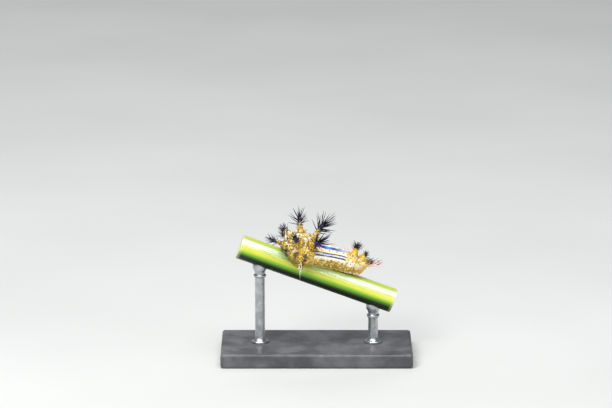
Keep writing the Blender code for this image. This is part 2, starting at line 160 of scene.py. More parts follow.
# Long spines of each kind of horn: count, length, root radius, first share of the length, and how
# far they sweep backwards and upwards
BRISTLES = {
    LARGE: (31, 1.85, 0.076, 0.42, (-0.05, 0.05)),
    LARGEST: (34, 2.35, 0.086, 0.38, (0.26, 0.10)),
    FRONT_TOP: (24, 0.95, 0.048, 0.46, (0.0, 0.12)),
    FRONT_SIDE: (32, 1.05, 0.050, 0.50, (-0.1, 0.05)),
    SIDE: (20, 0.66, 0.074, 0.14, (0.0, -0.05)),
    REAR: (26, 1.00, 0.054, 0.60, (0.05, 0.0)),
    LAST: (17, 0.62, 0.048, 0.62, (0.25, 0.0)),
    TRAILING: (62, 0.80, 0.046, 0.0, (0.30, 0.55)),
}
# The left LARGE horn, nearest in the photo, has shorter spines, and on the left the two largest
# horns have few and short spines that point down, below this upward share of their direction
NEAR_STAR_SHARE = 0.60
NEAR_STAR_LOWEST = {LARGE: -0.25, LARGEST: -0.45}
LOW_SPINE_SHARE = 0.5
LOW_LEAN = math.radians(82)
TIP_LEAN = math.radians(20)
LEAN_SPREAD = math.radians(15)
# How fast a spine's lean falls off towards the horn's tip
LEAN_POWER = 2.2
GOLDEN_ANGLE = math.radians(137.5)
# Spines of a side horn are dark below this share of its length, and clear above it
SIDE_CLEAR_FROM = 0.72
TRAILING_DARK = 0.95

# Small pale warts: station, degrees from the back's middle, radius, height, how white. The two at stations
# 1.50 and 3.26 on the middle of the back are real knobs whose white is partly a painted highlight on wet
# bumps
WARTS = (
    (1.50, 9, 0.208, 0.160, 1.0),
    (3.26, 4, 0.224, 0.176, 1.0),
    (2.66, 20, 0.160, 0.112, 1.0),
    (1.05, 52, 0.144, 0.096, 0.5),
    (0.80, 96, 0.128, 0.080, 0.4),
    (1.45, 88, 0.128, 0.080, 0.4),
    (2.05, 76, 0.136, 0.096, 0.5),
    (3.00, 66, 0.144, 0.096, 0.5),
    (3.45, 84, 0.128, 0.080, 0.4),
    (1.80, 112, 0.120, 0.080, 0.4),
    (3.30, 112, 0.120, 0.080, 0.4),
    (4.72, 106, 0.104, 0.072, 0.7),
    (6.02, 107, 0.104, 0.072, 0.8),
    (7.38, 110, 0.104, 0.072, 0.8),
    (8.62, 109, 0.104, 0.072, 0.8),
    (9.35, 114, 0.096, 0.064, 0.8),
    (10.25, 124, 0.120, 0.056, 1.0),
    (10.62, 82, 0.128, 0.088, 0.6),
    (11.18, 128, 0.144, 0.064, 1.0),
    (9.72, 64, 0.120, 0.080, 0.6),
)


def outline_at(station):
    """Top, half width, height of the widest line and sole at one station, on a smooth curve."""
    last = len(OUTLINE) - 1
    i = max(k for k in range(last) if OUTLINE[k][0] <= max(station, 0.0))
    before, first, second, after = (np.array(OUTLINE[min(max(k, 0), last)]) for k in range(i - 1, i + 3))
    span = second[0] - first[0]
    t = (station - first[0]) / span
    leave = span * (second - before) / (second[0] - before[0])
    arrive = span * (after - first) / (after[0] - first[0])
    rise = 3 * t**2 - 2 * t**3
    values = (1 - rise) * first + (t**3 - 2 * t**2 + t) * leave + rise * second + (t**3 - t**2) * arrive
    return values[1:]


BODY_END = OUTLINE[-1][0]
FINE_STATIONS = np.linspace(0.0, BODY_END, 485)
FINE_OUTLINE = np.array([outline_at(station) for station in FINE_STATIONS])
ALONG = np.array((math.cos(STEM_SLOPE), 0.0, -math.sin(STEM_SLOPE)))
UP = np.array((math.sin(STEM_SLOPE), 0.0, math.cos(STEM_SLOPE)))
RIGHT = np.array((0.0, 1.0, 0.0))
MIDDLE = np.array((0.0, 0.0, STEM_HEIGHT))


def smooth(values, low, high):
    """Zero below low and one above high, with a smooth rise between."""
    t = np.clip((np.asarray(values, float) - low) / (high - low), 0.0, 1.0)
    return t * t * (3 - 2 * t)


def outline(stations):
    """Arrays of top, half width, widest height and sole at these stations."""
    return [np.interp(stations, FINE_STATIONS, FINE_OUTLINE[:, k]) for k in range(4)]


def body_axes(stations):
    """The directions to the right side and upwards, which turn slowly along the body."""
    roll = FRONT_ROLL + (REAR_ROLL - FRONT_ROLL) * smooth(stations, ROLL_STARTS, ROLL_STARTS + ROLL_LENGTH)
    cosine, sine = np.cos(roll)[..., None], np.sin(roll)[..., None]
    return RIGHT * cosine + UP * sine, UP * cosine - RIGHT * sine


def body_to_world(stations, sides, heights):
    """Points in millimetres from stations, sides and heights."""
    stations = np.asarray(stations, float)
    side_axis, rise_axis = body_axes(stations)
    along = (stations - BODY_MIDDLE)[..., None]
    across_body = side_axis * np.asarray(sides)[..., None]
    return MIDDLE + ALONG * along + across_body + rise_axis * np.asarray(heights)[..., None]


def world_to_body(points):
    """Stations, sides and heights of points given in millimetres."""
    offset = points - MIDDLE
    stations = offset @ ALONG + BODY_MIDDLE
    side_axis, rise_axis = body_axes(stations)
    return stations, (offset * side_axis).sum(1), (offset * rise_axis).sum(1)


def ring_points(stations, angles, grow=0.0):
    """Sides and heights of the skin at these stations and angles."""
    top, half, middle, sole = outline(stations)
    out, rise = np.sin(angles), np.cos(angles)
    upper = rise >= 0
    tall = np.where(upper, top - middle, middle - sole) + grow
    power = np.where(upper, UPPER_POWER, LOWER_POWER)
    share = (np.abs(out) / (half + grow)) ** power + (np.abs(rise) / tall) ** power
    reach = share ** (-1 / power)
    return out * reach, middle + rise * reach


def skin_point(station, degrees):
    """The point of the skin at a station and an angle, which is negative on the left."""
    stations = np.array([station])
    side, height = ring_points(stations, np.array([math.radians(degrees)]))
    return body_to_world(stations, side, height)[0]


def clear_stem(points, gap):
    """Moves points that lie in the stem out to its surface and a small gap."""
    offset = points - MIDDLE
    axis_point = MIDDLE + ALONG * (offset @ ALONG)[:, None]
    radial = points - axis_point
    distance = np.maximum(np.linalg.norm(radial, axis=1), 1e-9)
    wanted = np.maximum(distance, STEM_RADIUS + gap)
    return axis_point + radial * (wanted / distance)[:, None]


def horn_places():
    """Root, unit direction, kind and hand of every horn, the left one of a pair and then the right."""
    places = []
    for station, degrees, kind, usual in HORNS:
        for hand in (-1, 1):
            back, out, rise = SWUNG_HORN if kind is FRONT_SIDE and hand == 1 else usual
            side_axis, rise_axis = (axis[0] for axis in body_axes(np.array([station])))
            direction = ALONG * back + side_axis * out * hand + rise_axis * rise
            root = skin_point(station, degrees * hand)
            places.append((root, direction / np.linalg.norm(direction), kind, hand))
    return places


def across(axis):
    """Two unit directions at right angles to an axis and to each other."""
    first = np.cross(axis, ALONG if abs(axis @ ALONG) < 0.8 else RIGHT)
    first /= np.linalg.norm(first)
    return first, np.cross(axis, first)


def coordinates(mesh):
    """The mesh's points as an array, in millimetres."""
    flat = np.empty(len(mesh.vertices) * 3)
    mesh.vertices.foreach_get("co", flat)
    return flat.reshape(-1, 3) / MM


def set_coordinates(mesh, points):
    mesh.vertices.foreach_set("co", (points * MM).ravel())
    mesh.update()


def normals(mesh):
    flat = np.empty(len(mesh.vertices) * 3)
    mesh.vertex_normals.foreach_get("vector", flat)
    return flat.reshape(-1, 3)


def store(mesh, name, values):
    """Keeps three numbers a point on the mesh, for its material to read."""
    attribute = mesh.attributes.new(name, "FLOAT_VECTOR", "POINT")
    attribute.data.foreach_set("vector", np.asarray(values, np.float32).ravel())


def select_only(*objects):
    bpy.ops.object.select_all(action="DESELECT")
    for obj in objects:
        obj.select_set(True)
    bpy.context.view_layer.objects.active = objects[0]


def joined(name, parts):
    select_only(*parts)
    if len(parts) > 1:
        bpy.ops.object.join()
    obj = bpy.context.object
    obj.name = obj.data.name = name
    return obj


def apply_modifier(obj, kind, **settings):
    select_only(obj)
    modifier = obj.modifiers.new(kind.lower(), kind)
    for key, value in settings.items():
        setattr(modifier, key, value)
    bpy.ops.object.modifier_apply(modifier=modifier.name)


def shade_smooth(obj, degrees=180):
    select_only(obj)
    bpy.ops.object.shade_smooth_by_angle(angle=math.radians(degrees))


def finish_piece(obj, material, nodes=()):
    """Gives a finished piece its material, says what it rides on, and hides the imported parts that it takes
    the place of.
    """
    obj.data.materials.clear()
    obj.data.materials.append(material)
    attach(obj, "root")
    if nodes:
        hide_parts(*nodes)
    return obj


def face_outwards(obj):
    select_only(obj)
    bpy.ops.object.mode_set(mode="EDIT")
    bpy.ops.mesh.select_all(action="SELECT")
    bpy.ops.mesh.normals_make_consistent(inside=False)
    bpy.ops.object.mode_set(mode="OBJECT")


def stretched_ball(name, segments, rings, shape):
    """A ball whose points are moved to shape(share from pole to pole, turn), in millimetres."""
    bpy.ops.object.select_all(action="DESELECT")
    bpy.ops.mesh.primitive_uv_sphere_add(segments=segments, ring_count=rings, radius=1, calc_uvs=False)
    obj = bpy.context.object
    obj.name = name
    x, y, z = coordinates(obj.data).T * MM
    share = np.arccos(np.clip(-z, -1, 1)) / math.pi
    set_coordinates(obj.data, shape(share, np.arctan2(y, x)))
    face_outwards(obj)
    return obj


def round_ends(distance, reach):
    """How wide a form is near its end, as on a ball: nothing at the end and whole from reach on."""
    return np.sqrt(np.maximum(1 - (1 - np.clip(distance / reach, 0, 1)) ** 2, 1e-6))


def club(name, root, axis, length, radius_at, segments=24, rings=22, foot=ROOT_DEPTH, end=0.3):
    """A closed round form along an axis, from a foot sunk below its root, with a domed end."""
    first, second = across(axis)
    foot_round = 0.1

    def shape(share, turn):
        height = -foot + (length + foot) * share
        wide = radius_at(np.clip(height / length, 0, 1)) * round_ends(length - height, end)
        wide = wide * round_ends(height + foot, foot_round)
        ring = np.cos(turn)[:, None] * first + np.sin(turn)[:, None] * second
        return root + axis * height[:, None] + ring * wide[:, None]

    return stretched_ball(name, segments, rings, shape)


def even(radius):
    """The same radius all the way up a form."""
    return lambda share: np.full_like(share, radius)


def horn_radius(kind):
    """A horn's radius by the share of its length: a flared foot and faint rings on an even taper."""
    length, root_radius, tip_radius, _ = kind
    flare_height, ring_depth, rings_each_mm = 0.22, 0.015, 14

    def radius_at(share):
        flare = 0.25 * root_radius * np.exp(-((share * length / flare_height) ** 2))
        ripple = ring_depth * np.sin(share * length * rings_each_mm) * (kind is not TRAILING)
        return root_radius + (tip_radius - root_radius) * share + flare + ripple

    return radius_at


def is_knob(kind):
    return kind in (KNOB, SIDE_KNOB)


def horn_form(place):
    """One horn's fleshy trunk. The trailing pair tapers on to a point."""
    root, axis, kind, _ = place
    radius_at = horn_radius(kind)
    if kind is TRAILING:
        point_length, taper = 0.55, 0.72
        length = kind[0] + point_length
        return club("horn", root, axis, length, lambda t: radius_at(t) * (1 - taper * t), end=0.25)
    segments, rings, end = (16, 12, 0.14) if is_knob(kind) else (28, 34, 0.24)
    return club("horn", root, axis, kind[0], radius_at, segments, rings, end=end)


def outwards_at(root):
    """The direction out of the body at a point of its skin, near enough."""
    station = world_to_body(root[None])[0]
    centre = body_to_world(station, np.array([0.0]), outline(station)[2])[0]
    return (root - centre) / np.linalg.norm(root - centre)


def wart_form(station, degrees, radius, height):
    root = skin_point(station, degrees)
    return club("wart", root, outwards_at(root), height, even(radius), 14, 10, 0.2, radius + height)


def body_form():
    """The whole body as one closed form from the front edge to the tail."""
    bulge, cap = 0.14, 0.55

    def shape(share, turn):
        station = -bulge + (BODY_END + 2 * bulge) * share
        inside = np.clip(station, 0, BODY_END)
        side, height = ring_points(inside, turn)
        middle = outline(inside)[2]
        wide = round_ends(np.minimum(station + bulge, BODY_END + bulge - station), cap)
        points = body_to_world(station, side * wide, middle + (height - middle) * wide)
        return clear_stem(points, SOLE_GAP)

    return stretched_ball("body", 140, 240, shape)


def wedge(name, corners, half_width, station):
    """A prism across the body from (station, height) corners, used to cut it."""
    side_axis, rise_axis = (axis[0] for axis in body_axes(np.array([station])))
    points = []
    for side in (-half_width, half_width):
        for x, height in corners:
            points.append(MIDDLE + ALONG * (x - BODY_MIDDLE) + side_axis * side + rise_axis * height)
    count = len(corners)
    faces = [tuple(range(count)), tuple(range(2 * count - 1, count - 1, -1))]
    for k in range(count):
        following = (k + 1) % count
        faces.append((following, k, count + k, count + following))
    mesh = bpy.data.meshes.new(name)
    mesh.from_pydata([Vector(point) * MM for point in points], [], faces)
    obj = bpy.data.objects.new(name, mesh)
    bpy.context.scene.collection.objects.link(obj)
    face_outwards(obj)
    return obj


def head_room():
    """The space round the head, a little wider than the head itself."""
    room = 0.12
    station, side, height = HEAD_CENTRE
    ahead, half_width, half_height = (radius + room for radius in HEAD_RADII)
    side_axis, rise_axis = (axis[0] for axis in body_axes(np.array([station])))
    centre = MIDDLE + ALONG * (station - BODY_MIDDLE) + side_axis * side + rise_axis * height

    def shape(share, turn):
        lift = np.sin(share * math.pi)
        x = -ahead * lift * np.cos(turn)
        y = half_width * lift * np.sin(turn)
        z = -half_height * np.cos(share * math.pi)
        return centre + ALONG * x[:, None] + side_axis * y[:, None] + rise_axis * z[:, None]

    return stretched_ball("head_room", 40, 24, shape)


def cut(obj, cutter):
    apply_modifier(obj, "BOOLEAN", operation="DIFFERENCE", solver="MANIFOLD", object=cutter)
    bpy.data.objects.remove(cutter, do_unlink=True)


def cut_hollows(body):
    """Opens the fold under the second segment, the place of the head and the hollow for the legs."""
    slope = (HOOD_BACK_HEIGHT - HOOD_FRONT_HEIGHT) / HOOD_BACK
    front, back = -1.5, 0.98
    low, high = (HOOD_FRONT_HEIGHT + end * slope - HOOD_GAP for end in (front, back))
    corners = ((front, low), (back, high), (back, high + HOOD_GAP), (front, low + HOOD_GAP))
    cut(body, wedge("fold", corners, half_width=5.0, station=0.7))
    cut(body, head_room())
    first, last, half_width, roof = LEG_HOLLOW
    corners = ((first, 0), (last, 0), (last, roof), (first, roof))
    cut(body, wedge("hollow", corners, half_width, (first + last) / 2))


def grains(points, size):
    """Rounded grains of about this size, as a height from 0 to 1 and a number that differs for each."""
    heights, numbers = np.empty((2, len(points)))
    half_width = 0.52
    for k, point in enumerate(points / size):
        distances, centres = noise.voronoi(point)
        heights[k] = max(0.0, 1 - (distances[0] / half_width) ** 2)
        numbers[k] = 0.5 + 0.5 * noise.cell(centres[0] * 7.3)
    return heights, numbers


def clouds(points, size):
    """Soft hills and hollows of about this size, from about -1 to 1."""
    return np.array([noise.noise(point / size) for point in points])


def crease_depth(stations, angles):
    """How deep the skin folds in between segments, from 0 to 1. The end folds are wider."""
    depth = np.zeros(len(stations))
    for k, border in enumerate(FOLDS):
        bend = 0.10 * np.sin(angles * 2.4 + k)
        width = 0.10 if 0 < k < len(FOLDS) - 1 else 0.13
        depth = np.maximum(depth, np.exp(-(((stations - border - bend) / width) ** 2)))
    return depth


def horn_fields(points, places):
    """For each point: share up a horn, how dark, pale or pink it is there, and a horn's yellow foot."""
    fields = {name: np.zeros(len(points)) for name in ("share", "dark", "pale", "pink", "yellow", "knob")}
    yellow_reach = 0.95
    for root, axis, kind, _ in places:
        offset = points - root
        height = offset @ axis
        radial = np.linalg.norm(offset - axis * height[:, None], axis=1)
        t = np.clip(height / kind[0], 0, 1.3)
        wide = horn_radius(kind)(np.clip(t, 0, 1))
        on_horn = (1 - smooth(radial, wide * 1.15, wide * 1.6)) * smooth(height, -0.05, 0.15)
        near_foot = np.exp(-((np.linalg.norm(offset, axis=1) / yellow_reach) ** 2))
        keep = {
            "share": on_horn * t * (not is_knob(kind)),
            "dark": on_horn * smooth(t, kind[3] - 0.07, kind[3] + 0.07),
            "pale": on_horn * smooth(t, *PALE_FROM.get(kind, (8.0, 9.0))),
            "pink": on_horn * smooth(t, 0.10, 0.45) * (kind is TRAILING),
            "yellow": near_foot * (not is_knob(kind) and kind is not SIDE),
            "knob": on_horn * smooth(t, 0.10, 0.6) * (kind is KNOB),
        }
        for name, values in keep.items():
            fields[name] = np.maximum(fields[name], values)
    return SimpleNamespace(**fields)


def foot_shade(points, places):
    """Painted shade in a ring round the foot of the horns that carry golden rays, between the rays; beside a
    side horn it lies in two dark spots along the body.
    """
    shade = np.zeros(len(points))
    ring_radius, ring_width, ring_height = 0.74, 0.26, 0.5
    for root, axis, kind, _ in places:
        if kind in (LARGE, LARGEST, SIDE):
            offset = points - root
            distance = np.linalg.norm(offset, axis=1)
            ring = np.exp(-(((distance - ring_radius) / ring_width) ** 2)) * (offset @ axis < ring_height)
            if kind is SIDE:
                ring = 2.0 * ring * smooth(np.abs(offset @ ALONG) / distance, 0.45, 0.75)
            shade = np.maximum(shade, np.minimum(ring, 1.3))
    return shade


def wart_field(points):
    """How much of each point belongs to a pale wart."""
    field = np.zeros(len(points))
    for station, degrees, radius, _, white in WARTS:
        for hand in (-1, 1):
            distance = np.linalg.norm(points - skin_point(station, degrees * hand), axis=1)
            field = np.maximum(field, white * (1 - smooth(distance, radius * 0.5, radius * 1.5625)))
    return field


def skin_form(places, voxel):
    """The body, horns and warts fused into one closed skin."""
    body = body_form()
    cut_hollows(body)
    parts = [body, *(horn_form(place) for place in places)]
    for station, degrees, radius, height, _ in WARTS:
        parts += [wart_form(station, degrees * hand, radius, height) for hand in (-1, 1)]
    skin = joined("larva_skin", parts)
    apply_modifier(skin, "REMESH", mode="VOXEL", voxel_size=voxel)
    apply_modifier(skin, "SMOOTH", factor=0.5, iterations=3)
    return skin


def make_skin(settings):
    """One skin over the thorax, the abdomen and the fleshy horns."""
    places = horn_places()
    skin = skin_form(places, settings.voxel)
    points = coordinates(skin.data)
    station, side, height = world_to_body(points)
    angle = np.abs(np.arctan2(side, height - outline(np.clip(station, 0, BODY_END))[2]))
    degrees = np.degrees(angle)
    horn = horn_fields(points, places)
    ring_shade = foot_shade(points, places)
    on_body = 1 - smooth(horn.share, 0.05, 0.2)
    creases = crease_depth(station, angle) * on_body * smooth(station, -0.2, 0.8)
    grain, number = grains(points, settings.grain / MM)
    grain = grain * (0.35 + 0.65 * number)
    lumps = clouds(points, settings.lump / MM)
    coarse = clouds(points, settings.coarse_grain / MM)

    # The banded back is nearly smooth, and the flanks below it are less rough than the thorax
    back = smooth(station, 4.4, 5.0) * (1 - smooth(station, 9.0, 9.6)) * (1 - smooth(degrees, 74, 86))
    flank = smooth(degrees, 84, 104) * (1 - smooth(station, 8.5, 9.5))
    rough = (1 - 0.85 * back) * (1 - horn.pink) * (1 - 0.6 * flank)
    lift = rough * (settings.grain_height * grain + settings.coarse_height * coarse)
    lift = lift - settings.fold_depth * creases * (1 - 0.6 * back) + settings.lump_height * lumps * on_body
    points = points + normals(skin.data) * lift[:, None] / MM
    sole = (degrees > 118) * (station > -0.1) * (station < BODY_END)
    points = np.where(sole[:, None], clear_stem(points, SOLE_GAP), points)
    set_coordinates(skin.data, points)

    plain = np.maximum(np.maximum(back, horn.pink), 0.6 * flank)
    hood_slope = (HOOD_BACK_HEIGHT - HOOD_FRONT_HEIGHT) / HOOD_BACK
    # Painted shade below the hood's sloping underside
    below = HOOD_FRONT_HEIGHT + hood_slope * station - HOOD_GAP / 2 - height
    under_hood = smooth(below, 0.0, 0.06) * (1 - smooth(station + 0.35 * lumps, 0.80, 1.0))
    # Painted shade in the creases between segments and in the rings round the horn feet
    dark = np.maximum(0.35 * creases * (1 - 0.8 * back), ring_shade)
    for name, values in (
        ("place", (station, degrees, grain * (1 - plain) + 0.38 * plain)),
        ("streak", (station * 0.12, angle * 2.4, side * 0.02)),
        ("horn", (horn.share, horn.dark, horn.pale)),
        ("tone", (horn.yellow, horn.pink, horn.knob)),
        ("relief", (dark, wart_field(points), under_hood)),
    ):
        store(skin.data, name, np.stack(values, 1))
    shade_smooth(skin)
    segments = (
        "prothorax", "mesothorax", "metathorax", "abdomen_1",
        "abdomen_2_4", "abdomen_5_6", "abdomen_7", "tail",
    )
    return finish_piece(skin, skin_material(settings), segments)


class Paint:
    """One material and short ways to add its nodes. Sizes are in millimetres."""

    def __init__(self, name, **constants):
        self.material = bpy.data.materials.new(name)
        self.material.use_nodes = True
        self.tree = self.material.node_tree
        self.shader = self.tree.nodes["Principled BSDF"]
        for socket, value in constants.items():
            self.shader.inputs[socket.replace("_", " ")].default_value = value
        self.where = self.node("ShaderNodeTexCoord").outputs["Object"]

    def node(self, kind, **settings):
        made = self.tree.nodes.new(kind)
        for key, value in settings.items():
            setattr(made, key, value)
        return made

    def put(self, socket, value):
        if isinstance(value, bpy.types.NodeSocket):
            self.tree.links.new(value, socket)
        elif value is not None:
            if socket.type == "RGBA" and len(value) == 3:
                value = (*value, 1.0)
            socket.default_value = value

    def stored(self, name):
        """The vector that the mesh keeps under this name."""
        return self.node("ShaderNodeAttribute", attribute_name=name).outputs["Vector"]

    def split(self, vector):
        made = self.node("ShaderNodeSeparateXYZ")
        self.put(made.inputs[0], vector)
        return made.outputs

    def texture(self, kind, size, vector=None):
        """A texture on the piece's own place, or on a vector in millimetres."""
        made = self.node(kind)
        self.put(made.inputs["Vector"], vector or self.where)
        made.inputs["Scale"].default_value = 1 / size if vector else 1 / (size * MM)
        return made

    def noise(self, size, detail=2.0, vector=None):
        """A cloudy value from 0 to 1 whose features are about this size."""
        made = self.texture("ShaderNodeTexNoise", size, vector)
        made.inputs["Detail"].default_value = detail
        return made.outputs[0]

    def cells(self, size):
        return self.texture("ShaderNodeTexVoronoi", size).outputs["Distance"]

    def maths(self, operation, first, second):
        made = self.node("ShaderNodeMath", operation=operation)
        self.put(made.inputs[0], first)
        self.put(made.inputs[1], second)
        return made.outputs[0]

    def plus(self, first, second):
        return self.maths("ADD", first, second)

    def minus(self, first, second):
        return self.maths("SUBTRACT", first, second)

    def times(self, first, second):
        return self.maths("MULTIPLY", first, second)

    def larger(self, first, second):
        return self.maths("MAXIMUM", first, second)

    def about_zero(self, cloud, reach):
        """A cloudy value moved to lie about zero and stretched."""
        return self.times(self.minus(cloud, 0.5), reach)

    def step(self, value, low, high, start=0.0, end=1.0):
        """A smooth change from start to end as the value goes from low to high."""
        made = self.node("ShaderNodeMapRange", interpolation_type="SMOOTHSTEP")
        self.put(made.inputs["Value"], value)
        for socket, number in (("From Min", low), ("From Max", high), ("To Min", start), ("To Max", end)):
            made.inputs[socket].default_value = number
        return made.outputs[0]

    def ramp(self, value, settings, stops, whole):
        """A colour for a value from 0 to whole, from stops of (value, name of a colour)."""
        made = self.node("ShaderNodeValToRGB")
        elements = made.color_ramp.elements
        elements.remove(elements[-1])
        for k, (position, name) in enumerate(stops):
            element = elements.new(position / whole) if k else elements[0]
            element.position = position / whole
            element.color = (*getattr(settings, name), 1.0)
        self.put(made.inputs[0], self.maths("DIVIDE", value, whole))
        return made.outputs[0]

    def mix(self, share, first, second):
        made = self.node("ShaderNodeMix", data_type="RGBA")
        self.put(made.inputs[0], share)
        self.put(made.inputs[6], first)
        self.put(made.inputs[7], second)
        return made.outputs[2]

    def layers(self, colour, *washes):
        """Lays colours over one another in turn, from pairs of (share, colour)."""
        for share, over in washes:
            colour = self.mix(share, colour, over)
        return colour

    def bump(self, height, distance, strength, before=None):
        made = self.node("ShaderNodeBump")
        made.inputs["Distance"].default_value = distance * MM
        made.inputs["Strength"].default_value = strength
        self.put(made.inputs["Height"], height)
        self.put(made.inputs["Normal"], before)
        return made.outputs[0]

    def finish(self, colour=None, roughness=None, normal=None):
        self.put(self.shader.inputs["Base Color"], colour)
        self.put(self.shader.inputs["Roughness"], roughness)
        self.put(self.shader.inputs["Normal"], normal)
        return self.material


# Colours round the body, by degrees from the middle of the back
FRONT_BANDS = (
    (0, "tan"), (28, "cream"), (44, "tan"), (60, "gold"), (80, "tan"), (100, "tan"), (118, "amber"),
    (180, "tan"),
)
ABDOMEN_BANDS = (
    (0, "gold"), (19, "gold"), (23, "straw"), (27, "cream"), (49, "cream"), (52.5, "straw"), (54, "line"),
    (58.5, "line"), (60, "lavender"), (65, "lavender"), (66.5, "line"), (71, "line"), (72.5, "cream"),
    (80, "cream"),
    (84, "straw"), (88, "amber"), (94, "tan"), (102, "amber"), (117, "amber"), (121, "gold"), (128, "gold"),
    (132, "cream"), (140, "tan"), (180, "tan"),
)
REAR_BANDS = (
    (0, "gold"), (24, "gold"), (34, "cream"), (60, "gold"), (70, "cream"), (84, "cream"), (96, "gold"),
    (108, "amber"), (120, "tan"), (128, "cream"), (150, "tan"), (180, "tan"),
)
# Colours along the back's stripe, by station
STRIPE_COLOURS = (
    (4.8, "deep_blue"), (5.6, "deep_blue"), (6.2, "sky_blue"), (7.0, "deep_blue"), (7.8, "sky_blue"),
    (8.6, "lavender"),
)
HALF_TURN = 180


def skin_values(paint):
    """The numbers that the skin's mesh keeps, and the clouds that break up its markings."""
    names = (
        "station", "angle", "grain", "share", "dark", "pale",
        "yellow", "pink", "knob", "hollow_shade", "wart", "under_hood",
    )
    vectors = [paint.stored(name) for name in ("place", "horn", "tone", "relief")]
    kept = [value for vector in vectors for value in paint.split(vector)]
    v = SimpleNamespace(**dict(zip(names, kept)))
    v.cloud, v.blotch = paint.noise(1.1, 3), paint.noise(0.42, 3)
    v.freckle, v.speckle = paint.noise(0.24, 1), paint.noise(0.11)
    wander = paint.about_zero(v.cloud, 6.0)
    about = paint.plus(paint.plus(v.angle, wander), paint.about_zero(v.blotch, 3.5))
    v.about = paint.minus(about, paint.step(v.station, 5.0, 8.5, 0.5, 3.5))
    v.along = paint.plus(v.station, paint.times(wander, 0.06))
    return v


def skin_bands(paint, v, settings):
    """The bands of the front, the abdomen and the rear, and the blue stripe along the back."""
    patches = paint.noise(0.55)
    front = paint.layers(
        paint.ramp(v.about, settings, FRONT_BANDS, HALF_TURN),
        (paint.step(v.blotch, 0.46, 0.60, 0.0, 0.75), settings.straw),
        (paint.step(patches, 0.50, 0.60, 0.0, 0.6), paint.mix(0.45, settings.olive_and_shade, settings.tan)),
        (paint.step(patches, 0.46, 0.36, 0.0, 0.5), settings.gold),
    )
    streak = paint.noise(0.30, vector=paint.stored("streak"))
    streaked = paint.times(paint.step(streak, 0.54, 0.64), paint.step(v.about, 80.0, 60.0))
    abdomen = paint.mix(streaked, paint.ramp(v.about, settings, ABDOMEN_BANDS, HALF_TURN), settings.cream)
    rear = paint.ramp(v.about, settings, REAR_BANDS, HALF_TURN)
    stripe = paint.ramp(v.station, settings, STRIPE_COLOURS, 10.0)
    stripe = paint.mix(paint.step(v.about, 11.0, 16.0), stripe, settings.deep_blue)
    in_stripe = paint.times(paint.step(v.about, 20.5, 17.0), paint.step(v.along, 4.45, 4.75))
    return paint.layers(
        front,
        (paint.step(v.along, 4.35, 4.75), abdomen),
        (paint.step(v.along, 8.75, 9.25), rear),
        (paint.times(in_stripe, paint.step(v.along, 9.2, 8.9)), stripe),
    )


